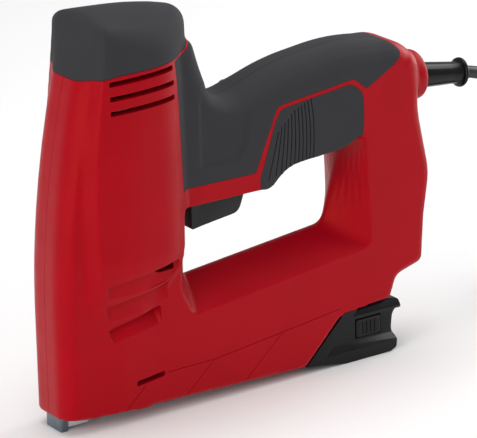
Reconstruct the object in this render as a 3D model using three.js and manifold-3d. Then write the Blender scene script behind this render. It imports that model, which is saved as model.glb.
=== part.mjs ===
// Corded electric staple gun with a D handle: a solenoid in a tall head drives a flat blade down
// behind a steel nose plate, and a slide-out magazine under the handle feeds the staples.
// Millimetres. The origin is the middle of the nose plate's contact edge, +X runs back towards the
// cord, +Z runs up along the blade, and the two housing halves part on Y = 0.
import * as THREE from "three";
import { mergeVertices } from "three/addons/utils/BufferGeometryUtils.js";
import Module from "manifold-3d";

const wasm = await Module();
wasm.setup();

// ---- Driving dimensions ----
const GAP = 0.3; // between pieces that touch
const SLIDING = 0.4; // each side of a piece that runs in another
const WALL = 2.6; // moulded housing wall
const GRIP_T = 2.2; // soft grip over the housing

const BASE_W = 34; // width of the base, column and handle
const BASE_FRONT_Z = 7.2; // underside of the housing at the nose
const BASE_REAR_Z = 3.4; // underside of the housing where the magazine slide begins
const SPLIT_X = 127; // foot of the slanted joint between housing and magazine slide
const SLIDE_TOP_Z = 25.8; // underside of the housing above the magazine slide
const SLIDE_REAR_X = 182; // back of the magazine slide
const COLUMN_REAR_X = 201.5; // back of the rear column at its widest
const FRAME_ROUND = 3.5; // rounding of the long edges of base, column and handle

const NOSE_W = 31; // width of the narrow nose column
const NOSE_FRONT_X = -3; // its front face
const BARREL_W = 50; // widest part of the head
const BARREL_FRONT_X = 14; // step from nose column to barrel
const HEAD_REAR_X = 74; // back of the head where it turns into the handle
const HEAD_TOP_Z = 189; // top of the cap
const CAP_Z = 166; // joint between cap and housing
const LEAN_START_Z = 50; // the nose column leans back above this height
const LEAN = 0.00112; // by this share of the square of the height above it
const DOME_R = 75; // top of the cap

const GRIP_TOP_Z = 152.5; // crown of the handle
const SADDLE_Z = 141.8; // lowest point of the neck between head and handle
const PALM_Z = 101.3; // underside of the handle
const BAND_TOP_Z = 104.5; // red band over the trigger
const BAND_Z = 94.5;
const BAND_REAR_X = 104;

const OPEN_FRONT_X = 70; // finger opening, at the middle of its walls
const OPEN_REAR_X = 148;
const OPEN_FLOOR_Z = 58.5;
const OPEN_RISE = 8; // its floor and roof climb towards the back
const FLARE_FLOOR = 13; // how far the opening's walls fall back towards the faces
const FLARE_FRONT = 9;
const FLARE_REAR = 16;

const NOSE_PLATE_W = 11.5;
const STAPLE_H = 14; // longest staple
const STAPLE_W = 11.4; // staple crown
const STEEL_T = 1.5;
const BLADE_T = 1.25;
const RAIL_X = 3.2; // front end of the staple rail
const RAIL_REAR_X = 150;
const RAIL_Z = 6.5;
const CHANNEL_T = 1;
const MAGAZINE_W = STAPLE_W + 4; // tunnel for the magazine
const MAGAZINE_TOP_Z = 24.6;
const PUSHER_L = 14;
const ROD_R = 1.4; // guide rod of the staple pusher
const FINGER_HOLLOW = 3; // depth of the hollow on each side of the slide's end
const HOLLOW_Z = [6, 21];
const LATCH_X = [SPLIT_X + 31, SPLIT_X + 45]; // buttons that free the magazine slide
const LATCH_Z = [10, 19];
const LATCH_DEPTH = 5;

const COIL_X = 36; // solenoid axis
const COIL_R = 18;
const COIL_Z = 78;
const COIL_H = 42;
const BORE_R = 9; // inside of the bobbin
const PLUNGER_R = BORE_R - SLIDING;
const STROKE = 16; // of the plunger and blade
const FLANGE_T = 1.6; // bobbin ends
const YOKE_T = 2.4;
const CARRIER_T = 5; // bracket between plunger and blade
const PLUNGER_HEAD_T = 4;

const TRIGGER_PIVOT = [99, 99];
const PIN_R = 1.5;
const TRIGGER_W = 17;
const PIN_L = TRIGGER_W + 7;
const SWITCH_X = 73.5;
const SWITCH_Z = 110;

const CORD_D = 6;
const CORD_Z = 128.2; // cord axis where it leaves the boss
const BOSS_X = 194;
const BOSS_LENGTH = 9.5;
const BOSS_R = 12;
const SLEEVE_LENGTH = 27;
const SLEEVE_DROP = 4.6; // fall of the strain relief over its length
const HANK_X = 340.4; // middle of the put-away cord
const HANK_RUN = 74; // straight part between its folds
const TURN_PITCH = CORD_D + 0.2;
const TURNS_ACROSS = 2;
const TURNS_UP = 4;
const FOLD_MEAN_R = 21.2;
const TIE_T = 1; // strap round the put-away cord
const PLUG_T = 13.6;
const PLUG_W = 36;
const PLUG_LENGTH = 38;
const PLUG_PIN_PITCH = 19;

const SCREW_R = 1.5; // housing screws and the (x, z) of each
const SCREW_HEAD_R = 3;
const SCREW_AT = [
  [64, 158],
  [57, 40],
  [102, 36],
  [140, 42],
  [187, 50],
  [187, 100],
  [170, 146],
  [104, 138],
];

// ---- Finishes ----
const finish = (color, roughness, metalness = 0) => ({ color, roughness, metalness });
const RED = finish(0x9c0418, 0.45);
const RUBBER = finish(0x202022, 0.8);
const BLACK = finish(0x141416, 0.4);
const STEEL = finish(0xa8adb2, 0.3, 1);
const DARK_STEEL = finish(0x5d6268, 0.45, 1);
const COPPER = finish(0xb4622e, 0.4, 1);
const BRASS = finish(0xb59a50, 0.35, 1);
const NYLON = finish(0xd8d4c6, 0.6);
const BOARD = finish(0x1f5b36, 0.6);

// ---- Solids ----

// A closed geometry as a solid, its faces turned outwards whichever way its profile ran.
function solid(geometry) {
  const bare = geometry.index ? geometry.toNonIndexed() : geometry.clone();
  bare.deleteAttribute("normal");
  bare.deleteAttribute("uv");
  const merged = mergeVertices(bare, 1e-4);
  const vertProperties = new Float32Array(merged.attributes.position.array);
  const triVerts = new Uint32Array(merged.index.array);
  const build = () => new wasm.Manifold(new wasm.Mesh({ numProp: 3, vertProperties, triVerts }));
  const made = build();
  if (made.volume() > 0) return made;
  for (let i = 0; i < triVerts.length; i += 3) {
    [triVerts[i + 1], triVerts[i + 2]] = [triVerts[i + 2], triVerts[i + 1]];
  }
  return build();
}

const join = (...solids) => solids.reduce((all, one) => all.add(one));
const cut = (body, ...tools) => tools.reduce((left, tool) => left.subtract(tool), body);

// A closed outline of [a, b, r] corners, each rounded over r from the corner where r is given.
function outline(corners) {
  const shape = new THREE.Shape();
  const at = (i) => new THREE.Vector2(...corners[(i + corners.length) % corners.length]);
  corners.forEach(([, , r = 0], i) => {
    const corner = at(i);
    const start = corner.clone().add(at(i - 1).sub(corner).setLength(r || 1e-3));
    const end = corner.clone().add(at(i + 1).sub(corner).setLength(r || 1e-3));
    if (i === 0) shape.moveTo(r ? start.x : corner.x, r ? start.y : corner.y);
    else shape.lineTo(r ? start.x : corner.x, r ? start.y : corner.y);
    if (r) shape.quadraticCurveTo(corner.x, corner.y, end.x, end.y);
  });
  shape.closePath();
  return shape;
}

// An outline's extrusion from 0 to depth. Its long edges are rounded over round, and its whole
// section is inset by inset.
function extrusion(shape, depth, { round = 0, inset = 0, steps = 1, arc = 4 } = {}) {
  const edge = Math.max(round, inset ? 0.01 : 0);
  return new THREE.ExtrudeGeometry(shape, {
    depth: depth - 2 * edge,
    steps,
    curveSegments: arc,
    bevelEnabled: edge > 0,
    bevelThickness: edge,
    bevelSize: edge,
    bevelOffset: -edge - inset,
    bevelSegments: round > 1 ? 3 : 1,
  }).translate(0, 0, edge);
}

// An (x, z) outline standing between y = low and y = high.
function slab(corners, low, high, options = {}) {
  return solid(extrusion(outline(corners), high - low, options).rotateX(Math.PI / 2).translate(0, high, 0));
}

const across = (corners, width, options) => slab(corners, -width / 2, width / 2, options);

// An (x, y) outline standing between z = low and z = high. warp(position) may move its vertices.
function pillar(corners, low, high, { warp, ...options } = {}) {
  const geometry = extrusion(outline(corners), high - low, options).translate(0, 0, low);
  if (warp) moveVertices(geometry, warp);
  return solid(geometry);
}

// A (y, z) outline lying between x = low and x = high.
function beam(corners, low, high, options = {}) {
  const lie = new THREE.Matrix4().makeBasis(
    new THREE.Vector3(0, 1, 0),
    new THREE.Vector3(0, 0, 1),
    new THREE.Vector3(1, 0, 0),
  );
  return solid(extrusion(outline(corners), high - low, options).applyMatrix4(lie).translate(low, 0, 0));
}

function moveVertices(geometry, warp) {
  const position = geometry.attributes.position;
  const point = new THREE.Vector3();
  for (let i = 0; i < position.count; i += 1) {
    warp(point.fromBufferAttribute(position, i));
    position.setXYZ(i, point.x, point.y, point.z);
  }
}

function block([x0, x1], [y0, y1], [z0, z1]) {
  const size = new THREE.BoxGeometry(x1 - x0, y1 - y0, z1 - z0);
  return solid(size.translate((x0 + x1) / 2, (y0 + y1) / 2, (z0 + z1) / 2));
}

// A block that is width wide and centred on Y = 0.
const bar = (x, width, z) => block(x, [-width / 2, width / 2], z);

// A round bar between two points.
function rod(from, to, r0, r1 = r0, sides = 14) {
  const a = new THREE.Vector3(...from);
  const span = new THREE.Vector3(...to).sub(a);
  const turn = new THREE.Quaternion().setFromUnitVectors(
    new THREE.Vector3(0, 1, 0),
    span.clone().normalize(),
  );
  const middle = a.clone().addScaledVector(span, 0.5);
  const geometry = new THREE.CylinderGeometry(r1, r0, span.length(), sides);
  return solid(geometry.applyQuaternion(turn).translate(middle.x, middle.y, middle.z));
}

const tube = (from, to, outer, inner, sides = 16) =>
  cut(rod(from, to, outer, outer, sides), rod(reach(to, from), reach(from, to), inner, inner, sides));

// The point a little past to, seen from from.
function reach(from, to) {
  const end = new THREE.Vector3(...to);
  return end.add(end.clone().sub(new THREE.Vector3(...from)).setLength(1)).toArray();
}

// A round-sectioned tube along a smooth curve through points.
function cordAlong(points, diameter, steps) {
  const path = new THREE.CatmullRomCurve3(points.map((p) => new THREE.Vector3(...p)), false, "centripetal");
  const section = new THREE.Shape().absarc(0, 0, diameter / 2, 0, 2 * Math.PI, false);
  return solid(
    new THREE.ExtrudeGeometry(section, { steps, curveSegments: 5, bevelEnabled: false, extrudePath: path }),
  );
}

// A ring turned round the vertical through (x, y): its section is a rectangle with small chamfers.
function ring([x, y], inner, outer, low, high, chamfer, sides = 32) {
  const profile = [
    [inner + chamfer, low],
    [outer - chamfer, low],
    [outer, low + chamfer],
    [outer, high - chamfer],
    [outer - chamfer, high],
    [inner + chamfer, high],
    [inner, high - chamfer],
    [inner, low + chamfer],
    [inner + chamfer, low],
  ].map(([r, z]) => new THREE.Vector2(r, z));
  return solid(new THREE.LatheGeometry(profile, sides).rotateX(Math.PI / 2).translate(x, y, 0));
}

// ---- Parts ----
const staple_gun = new THREE.Group();

function part(name, shape, look) {
  const mesh = shape.getMesh();
  const geometry = new THREE.BufferGeometry();
  const points = [];
  for (let i = 0; i < mesh.vertProperties.length; i += mesh.numProp) {
    points.push(...mesh.vertProperties.slice(i, i + 3));
  }
  geometry.setAttribute("position", new THREE.Float32BufferAttribute(points, 3));
  geometry.setIndex([...mesh.triVerts]);
  geometry.computeVertexNormals();
  const piece = new THREE.Mesh(geometry, new THREE.MeshStandardMaterial(look));
  piece.name = name;
  staple_gun.add(piece);
}

// ---- Outer form ----
const HALF_BASE = BASE_W / 2;
const HALF_NOSE = NOSE_W / 2;
const HALF_BARREL = BARREL_W / 2;
const TALL = HEAD_TOP_Z + 20; // past the top of everything
const WIDE = BARREL_W + 20; // past both faces

const leanAt = (z) => (z > LEAN_START_Z ? LEAN * (z - LEAN_START_Z) ** 2 : 0);

// The nose column leans back as it rises, and the barrel narrows towards the cap.
function leanBack(point) {
  point.x += leanAt(point.z);
}

function narrowUpwards(point) {
  const rise = Math.max(point.z - BAND_TOP_Z, 0);
  const middle = (BARREL_FRONT_X + HEAD_REAR_X) / 2;
  point.x += (point.x < middle ? 0.07 : -0.02) * rise;
}

const noseColumn = (low, high, inset = 0) =>
  pillar(
    [
      [NOSE_FRONT_X, -HALF_NOSE, 8],
      [HEAD_REAR_X - 24, -HALF_NOSE],
      [HEAD_REAR_X - 24, HALF_NOSE],
      [NOSE_FRONT_X, HALF_NOSE, 8],
    ],
    low,
    high,
    { inset, steps: 8, warp: leanBack },
  );

// Half of the barrel's plan, front to back; the other half mirrors it.
const BARREL_PLAN = [
  [BARREL_FRONT_X, -HALF_NOSE + 1],
  [BARREL_FRONT_X, -HALF_BARREL + 3, 2.5],
  [BARREL_FRONT_X + 16, -HALF_BARREL, 8],
  [HEAD_REAR_X - 20, -HALF_BARREL + 1, 10],
  [HEAD_REAR_X - 4, -HALF_BARREL + 12, 5],
  [HEAD_REAR_X, -4.5, 3],
];
const mirrored = (half) => [...half, ...half.map(([x, y, r]) => [x, -y, r]).reverse()];

// The head seen from the front: slim over the base, wide along the barrel.
const HEAD_FRONT_VIEW = mirrored([
  [BASE_FRONT_Z, -HALF_BASE],
  [40, -HALF_BASE],
  [70, -HALF_BARREL + 1],
  [105, -HALF_BARREL],
  [TALL, -HALF_BARREL + 2],
]).map(([z, y]) => [y, z]);

function barrel(low, high, inset = 0) {
  const plan = pillar(mirrored(BARREL_PLAN), low, high, { inset, steps: 6, warp: narrowUpwards });
  return plan.intersect(beam(HEAD_FRONT_VIEW, NOSE_FRONT_X - 10, HEAD_REAR_X + 10, { inset }));
}

// The side outline of base, column and handle, from the nose round to the neck.
const FRAME_OUTLINE = [
  [NOSE_FRONT_X + 4, BASE_FRONT_Z],
  [SPLIT_X, BASE_REAR_Z],
  [SPLIT_X + 22, SLIDE_TOP_Z],
  [SLIDE_REAR_X - 5.5, SLIDE_TOP_Z + 0.8],
  [SLIDE_REAR_X - 1, 37.4],
  [COLUMN_REAR_X - 5.5, 41.5],
  [COLUMN_REAR_X - 4, 70],
  [COLUMN_REAR_X, 84, 8],
  [COLUMN_REAR_X - 7, 119],
  [COLUMN_REAR_X - 4.5, 141],
  [COLUMN_REAR_X - 13, GRIP_TOP_Z - 4, 8],
  [158, GRIP_TOP_Z + 1, 14],
  [112, GRIP_TOP_Z - 6, 10],
  [88, SADDLE_Z - 1.5, 9],
  [76, 153, 8],
  [HEAD_REAR_X - 2, CAP_Z - GAP],
  [30, CAP_Z - GAP],
  [12, BASE_FRONT_Z + 40],
  [NOSE_FRONT_X + 4, BASE_FRONT_Z + 30],
];
const frame = (width, inset = 0) =>
  across(FRAME_OUTLINE, width, { round: FRAME_ROUND, inset });

// The finger opening. Its walls are highest at the parting plane and fall back to both faces.
const OPENING_OUTLINE = [
  [OPEN_FRONT_X, OPEN_FLOOR_Z],
  [OPEN_REAR_X, OPEN_FLOOR_Z + OPEN_RISE, 4],
  [OPEN_REAR_X + 12, PALM_Z + 1.5],
  [OPEN_REAR_X - 30, PALM_Z - 0.5, 6],
  [BAND_REAR_X + 5, BAND_Z - 3, 2],
  [BAND_REAR_X - 1, BAND_Z],
  [OPEN_FRONT_X, BAND_Z],
];
function fallBack(point) {
  if (Math.abs(point.y) < 1) return;
  const { x, z } = point;
  if (x < OPEN_FRONT_X + 5) point.x -= FLARE_FRONT;
  if (z < OPEN_FLOOR_Z + OPEN_RISE + 6) point.z -= FLARE_FLOOR - (x > OPEN_REAR_X - 20 ? 3 : 0);
  if (x > OPEN_REAR_X - 20) {
    const height = (z - OPEN_FLOOR_Z - OPEN_RISE) / (PALM_Z - OPEN_FLOOR_Z - OPEN_RISE);
    point.x += FLARE_REAR * (1 - Math.max(height, 0)) + 1;
  }
}
function openingHalf(side) {
  const geometry = extrusion(outline(OPENING_OUTLINE), HALF_BASE + 0.5)
    .rotateX(Math.PI / 2)
    .translate(0, side > 0 ? HALF_BASE + 0.5 : 0, 0);
  moveVertices(geometry, fallBack);
  return solid(geometry);
}
// Beyond the faces of the frame the opening stays straight, where the wider barrel stands in it.
const opening = join(openingHalf(-1), openingHalf(1), across(OPENING_OUTLINE, WIDE));

// The region that the soft top grip covers: neck, saddle and top of the handle.
const TOP_GRIP_REGION = [
  [HEAD_REAR_X - 15.5, BAND_TOP_Z + 0.5],
  [HEAD_REAR_X - 17, CAP_Z + 2],
  [HEAD_REAR_X + 20, CAP_Z + 2],
  [180, CAP_Z],
  [185, 152],
  [180, 141, 2],
  [163, 132.5, 2],
  [154, 138.2, 2],
  [112, 132.2, 3],
  [101, BAND_TOP_Z + 0.5],
];
// The region of the soft palm grip under the handle.
const PALM_GRIP_REGION = [
  [103.5, BAND_TOP_Z - 3],
  [110.5, 127, 1],
  [114, 130.5, 2],
  [154, 136.2, 2],
  [162, 130.8, 3],
  [161.5, 111, 2],
  [150, PALM_Z - 8],
  [104, 86],
];

const outer = cut(
  join(
    noseColumn(BASE_FRONT_Z, CAP_Z - GAP),
    barrel(BASE_FRONT_Z + 30, CAP_Z - GAP),
    frame(BASE_W),
  ),
  opening,
);
// What lies under the soft grips.
const core = cut(
  join(
    noseColumn(BASE_FRONT_Z, CAP_Z - GAP),
    barrel(BASE_FRONT_Z + 30, CAP_Z - GAP, GRIP_T),
    frame(BASE_W - 2 * GRIP_T, GRIP_T),
  ),
  opening,
);
const coreWithGap = join(
  noseColumn(BASE_FRONT_Z, CAP_Z),
  barrel(BASE_FRONT_Z + 30, CAP_Z, GRIP_T - GAP),
  frame(BASE_W - 2 * (GRIP_T - GAP), GRIP_T - GAP),
);

const topRegion = across(TOP_GRIP_REGION, WIDE);
const palmRegion = across(PALM_GRIP_REGION, WIDE);
const openingFlaredUp = across(
  OPENING_OUTLINE.map(([x, z, r]) => [x, z > PALM_Z - 12 ? z + GRIP_T : z, r]),
  WIDE,
);

const cordBoss = (gap) =>
  rod(
    [BOSS_X - 6 - gap, 0, CORD_Z],
    [BOSS_X + BOSS_LENGTH, 0, CORD_Z],
    BOSS_R + 0.6 + gap,
    BOSS_R - 0.6 + gap,
    32,
  );

// ---- Inside of the housing ----
const CHAMBER_TOP = CAP_Z - 2 * WALL;
const NOSE_CHAMBER_Z = MAGAZINE_TOP_Z + 10;
const HEAD_WALL = GRIP_T + WALL;
const CHAMBER_REAR_X = OPEN_FRONT_X - WALL - 5;
const headChamber = join(
  pillar(
    mirrored([
      [BARREL_FRONT_X + WALL, -HALF_BARREL + 3 + HEAD_WALL],
      [BARREL_FRONT_X + 16, -HALF_BARREL + HEAD_WALL],
      [HEAD_REAR_X - 20, -HALF_BARREL + 1 + HEAD_WALL],
      [CHAMBER_REAR_X, -HALF_BARREL + 8 + HEAD_WALL],
    ]),
    COIL_Z - 14,
    CHAMBER_TOP,
  ),
  cut(
    noseColumn(NOSE_CHAMBER_Z, CHAMBER_TOP - 20, WALL),
    block([COIL_X + PLUNGER_R + 2.4, HEAD_REAR_X], [-WIDE, WIDE], [0, TALL]),
  ),
);
const handleChamber = across(
  [
    [HEAD_REAR_X - 14, BAND_TOP_Z + 4],
    [OPEN_REAR_X + 12, PALM_Z + 10],
    [178, 118],
    [178, 138],
    [150, 144],
    [96, 134],
    [HEAD_REAR_X - 14, 134],
  ],
  BASE_W - 2 * (GRIP_T + WALL),
);
const columnChamber = bar([172, 190], 20, [50, 138]);
const triggerSlot = bar(
  [OPEN_FRONT_X - 3, BAND_REAR_X - 1],
  TRIGGER_W + 2 * SLIDING,
  [BAND_Z - 20, BAND_TOP_Z + 5],
);
const [PIVOT_X, PIVOT_Z] = TRIGGER_PIVOT;
const pinHole = rod(
  [PIVOT_X, -PIN_L / 2 - GAP, PIVOT_Z],
  [PIVOT_X, PIN_L / 2 + GAP, PIVOT_Z],
  PIN_R + GAP,
);
const nosePocket = bar([-1.1, 14], MAGAZINE_W, [BASE_FRONT_Z - 10, 36]);
const magazineTunnel = bar([12, SPLIT_X + 40], MAGAZINE_W, [BASE_REAR_Z - 5, MAGAZINE_TOP_Z]);
const cordHole = rod([BOSS_X - 20, 0, CORD_Z], [BOSS_X + 40, 0, CORD_Z], 6.8);

// Curved ventilation slots under the cap, on both faces, and the slanted louvres lower down.
const vents = [0, 1, 2].map((i) => {
  const z = 161 - i * 6.6;
  return slab(
    [
      [21, z],
      [53, z + 2],
      [53, z + 4],
      [21, z + 2],
    ],
    -40,
    40,
  );
});
const sightSlot = across([[34, 18.4, 1], [48.5, 20.6, 1], [48.5, 23, 1], [34, 20.8, 1]], WIDE);
const louvres = [0, 1, 2].flatMap((i) =>
  [-1, 1].map((side) => {
    const z = 68 - i * 10;
    const face = side * (HALF_BARREL - 2.2 - i * 1.4);
    return slab(
      [
        [18 + 3 * i, z],
        [50 - 2 * i, z + 6],
        [50 - 2 * i, z + 8.5],
        [18 + 3 * i, z + 2.5],
      ],
      Math.min(face, face + side * 10),
      Math.max(face, face + side * 10),
    );
  }),
);

// ---- Housing screws, from the right face into the left half ----
const screwSeatY = HALF_BASE - 6;
const screwBosses = (gap) =>
  SCREW_AT.map(([x, z]) => rod([x, -HALF_BASE + 4, z], [x, screwSeatY + 2 + gap, z], 3.6 + gap));
const screwHoles = SCREW_AT.flatMap(([x, z]) => [
  rod([x, -HALF_BASE + 5, z], [x, screwSeatY + 1, z], SCREW_R + GAP),
  rod([x, screwSeatY, z], [x, WIDE / 2, z], SCREW_HEAD_R + GAP),
]);

const slideMouth = across(
  [
    [SPLIT_X, BASE_REAR_Z - 8],
    [SPLIT_X, BASE_REAR_Z],
    [SPLIT_X + 22, SLIDE_TOP_Z],
    [SLIDE_REAR_X + 20, SLIDE_TOP_Z + 1],
    [SLIDE_REAR_X + 20, BASE_REAR_Z - 8],
  ],
  WIDE,
);

const housing = cut(
  join(
    cut(
      join(cut(outer, topRegion, palmRegion), cut(core, openingFlaredUp), cordBoss(0)),
      headChamber,
      handleChamber,
      columnChamber,
      ...vents,
      ...louvres,
    ),
    ...screwBosses(0),
  ),
  opening,
  triggerSlot,
  pinHole,
  nosePocket,
  magazineTunnel,
  cordHole,
  sightSlot,
  slideMouth,
  ...screwHoles,
);
const LEFT = block([-60, 300], [-60, -GAP / 2], [-30, TALL]);
const RIGHT = block([-60, 300], [GAP / 2, 60], [-30, TALL]);
part("housing_left", housing.intersect(LEFT), RED);
part("housing_right", housing.intersect(RIGHT), RED);

SCREW_AT.forEach(([x, z], i) => {
  const screw = join(
    rod([x, -HALF_BASE + 7, z], [x, screwSeatY + 0.5, z], SCREW_R),
    rod([x, screwSeatY + GAP, z], [x, screwSeatY + 2.6, z], SCREW_HEAD_R),
  );
  part(`housing_screw_${i + 1}`, screw, DARK_STEEL);
});

// ---- Cap and soft grips ----
const capForm = join(noseColumn(CAP_Z, HEAD_TOP_Z + 8), barrel(CAP_Z, HEAD_TOP_Z + 8));
// The top is domed: a large ball trims it.
const dome = solid(
  new THREE.SphereGeometry(DOME_R, 48, 32)
    .rotateX(Math.PI / 2)
    .translate(COIL_X, 0, HEAD_TOP_Z - DOME_R),
);
const capRecess = bar([BARREL_FRONT_X + 8, HEAD_REAR_X - 22], 18, [CAP_Z - 1, CAP_Z + 3]);
part("head_cap", cut(capForm.intersect(dome), capRecess), RUBBER);

const gripSkin = cut(outer, cordBoss(GAP), ...screwBosses(GAP), ...screwHoles);
const topGrip = cut(
  gripSkin.intersect(across(TOP_GRIP_REGION, WIDE, { inset: GAP })),
  coreWithGap,
);
part("grip_top_left", biggest(topGrip.intersect(LEFT)), RUBBER);
part("grip_top_right", biggest(topGrip.intersect(RIGHT)), RUBBER);
const palmGrip = cut(
  gripSkin.intersect(across(PALM_GRIP_REGION, WIDE, { inset: GAP })),
  cut(coreWithGap, openingFlaredUp),
);
part("palm_grip_left", biggest(palmGrip.intersect(LEFT)), RUBBER);
part("palm_grip_right", biggest(palmGrip.intersect(RIGHT)), RUBBER);

// The largest separate piece of a solid, without the slivers that a cut can leave.
function biggest(shape) {
  return shape.decompose().reduce((best, one) => (one.volume() > best.volume() ? one : best));
}

// ---- Nose, driver and solenoid ----
const HALF_STEEL = STEEL_T / 2;
part("nose_plate", bar([-HALF_STEEL, HALF_STEEL], NOSE_PLATE_W, [0, 34]), STEEL);
const BLADE_X = HALF_STEEL + GAP;
const NOSE_BLOCK_X = BLADE_X + BLADE_T + GAP;
const RAIL_W = STAPLE_W - 2;
const RAIL_TOP_Z = RAIL_Z + STAPLE_H - 0.5;
const noseBlock = cut(
  bar([NOSE_BLOCK_X, 13], MAGAZINE_W - 2 * GAP, [2.4, 34]),
  bar([0, 20], STAPLE_W + 1, [0, MAGAZINE_TOP_Z - 1.6]),
);
part("nose_block", noseBlock, DARK_STEEL);

const BLADE_TIP_Z = 1 + STROKE;
const CARRIER_Z = COIL_Z - 14;
const CARRIER_TOP_Z = CARRIER_Z + CARRIER_T;
part(
  "driver_blade",
  bar([BLADE_X, BLADE_X + BLADE_T], STAPLE_W - 0.8, [BLADE_TIP_Z, CARRIER_Z - GAP]),
  STEEL,
);
const carrier = join(
  bar([BLADE_X, BLADE_X + CARRIER_T], STAPLE_W + 4, [CARRIER_Z, CARRIER_TOP_Z]),
  bar([BLADE_X + 4, COIL_X + 4], STAPLE_W, [CARRIER_Z + 1, CARRIER_TOP_Z]),
);
part("driver_carrier", carrier, DARK_STEEL);

const onAxis = (z) => [COIL_X, 0, z];
const FLANGE_R = COIL_R - 1;
const WINDING_R = COIL_R - 2.5;
const SLEEVE_R = BORE_R + 1.2; // outside of the bobbin's tube
const BOBBIN_TOP_Z = COIL_Z + COIL_H;
const YOKE_TOP_Z = BOBBIN_TOP_Z + GAP + YOKE_T;
const YOKE_FOOT_Z = COIL_Z - GAP - YOKE_T;
const PLUNGER_HEAD_Z = YOKE_TOP_Z + STROKE + 9;
const PLUNGER_HEAD_R = PLUNGER_R + 3.5;
const plunger = join(
  rod(onAxis(CARRIER_TOP_Z + GAP), onAxis(PLUNGER_HEAD_Z + 1), PLUNGER_R, PLUNGER_R, 24),
  rod(onAxis(PLUNGER_HEAD_Z), onAxis(PLUNGER_HEAD_Z + PLUNGER_HEAD_T), PLUNGER_HEAD_R, PLUNGER_HEAD_R, 24),
);
part("solenoid_plunger", plunger, STEEL);
const bobbin = join(
  tube(onAxis(COIL_Z), onAxis(BOBBIN_TOP_Z), SLEEVE_R, BORE_R, 24),
  tube(onAxis(COIL_Z), onAxis(COIL_Z + FLANGE_T), FLANGE_R, BORE_R, 24),
  tube(onAxis(BOBBIN_TOP_Z - FLANGE_T), onAxis(BOBBIN_TOP_Z), FLANGE_R, BORE_R, 24),
);
part("coil_bobbin", bobbin, NYLON);
const winding = tube(
  onAxis(COIL_Z + FLANGE_T + GAP),
  onAxis(BOBBIN_TOP_Z - FLANGE_T - GAP),
  WINDING_R,
  SLEEVE_R + GAP,
  28,
);
part("solenoid_winding", winding, COPPER);
// The iron yoke: an end plate above and below the bobbin, joined by a plate on each side.
const YOKE_Y = FLANGE_R + GAP;
const yokePlate = (z) =>
  cut(
    join(
      bar([COIL_X - 13, COIL_X + 13], 2 * FLANGE_R, [z, z + YOKE_T]),
      bar([COIL_X - 8, COIL_X + 8], 2 * (YOKE_Y + 1), [z, z + YOKE_T]),
    ),
    rod(onAxis(z - 1), onAxis(z + YOKE_T + 1), BORE_R + GAP, BORE_R + GAP, 24),
  );
const yokeSide = (side) =>
  block(
    [COIL_X - 8, COIL_X + 8],
    side < 0 ? [-YOKE_Y - 2, -YOKE_Y] : [YOKE_Y, YOKE_Y + 2],
    [YOKE_FOOT_Z, YOKE_TOP_Z],
  );
part(
  "solenoid_yoke",
  join(yokePlate(YOKE_FOOT_Z), yokePlate(BOBBIN_TOP_Z + GAP), yokeSide(-1), yokeSide(1)),
  DARK_STEEL,
);
part(
  "return_spring",
  tube(onAxis(YOKE_TOP_Z + GAP), onAxis(PLUNGER_HEAD_Z - GAP), PLUNGER_R + 3, PLUNGER_R + 0.6, 20),
  STEEL,
);
const TOP_BUFFER_Z = PLUNGER_HEAD_Z + PLUNGER_HEAD_T + GAP;
part("top_buffer", ring([COIL_X, 0], 4, 11, TOP_BUFFER_Z, CHAMBER_TOP - GAP, 0.8, 24), RUBBER);
const bottomBuffer = bar(
  [COIL_X - 9, COIL_X + 9],
  STAPLE_W + 8,
  [NOSE_CHAMBER_Z + GAP, CARRIER_Z + 1 - STROKE - GAP],
);
part("bottom_buffer", bottomBuffer, RUBBER);

// ---- Trigger and switch ----
const trigger = cut(
  across(
    [
      [OPEN_FRONT_X + 0.8, 81.5],
      [84, 83, 6],
      [96.5, 84.6, 3],
      [99.4, 92],
      [102, PIVOT_Z],
      [98, PIVOT_Z + 3],
      [92, BAND_Z + 2.5],
      [77, BAND_Z + 2.5],
      [76, PIVOT_Z + 1],
      [OPEN_FRONT_X + 0.8, PIVOT_Z + 1],
    ],
    TRIGGER_W,
    { round: 1 },
  ),
  rod([PIVOT_X, -20, PIVOT_Z], [PIVOT_X, 20, PIVOT_Z], PIN_R + 0.1),
);
part("trigger", trigger, BLACK);
part(
  "trigger_pin",
  rod([PIVOT_X, -PIN_L / 2, PIVOT_Z], [PIVOT_X, PIN_L / 2, PIVOT_Z], PIN_R),
  STEEL,
);
const switchBody = cut(
  bar([SWITCH_X - 6, SWITCH_X + 20], 14, [SWITCH_Z, SWITCH_Z + 15]),
  rod([SWITCH_X, 0, SWITCH_Z - 1], [SWITCH_X, 0, SWITCH_Z + 10], 2 + GAP),
);
part("trigger_switch", switchBody, BLACK);
part(
  "switch_plunger",
  rod([SWITCH_X, 0, PIVOT_Z + 1 + GAP], [SWITCH_X, 0, SWITCH_Z + 4], 2),
  NYLON,
);
part(
  "trigger_spring",
  tube([86, 0, BAND_Z + 2.5 + GAP], [86, 0, SWITCH_Z - GAP], 3, 2, 16),
  STEEL,
);

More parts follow.
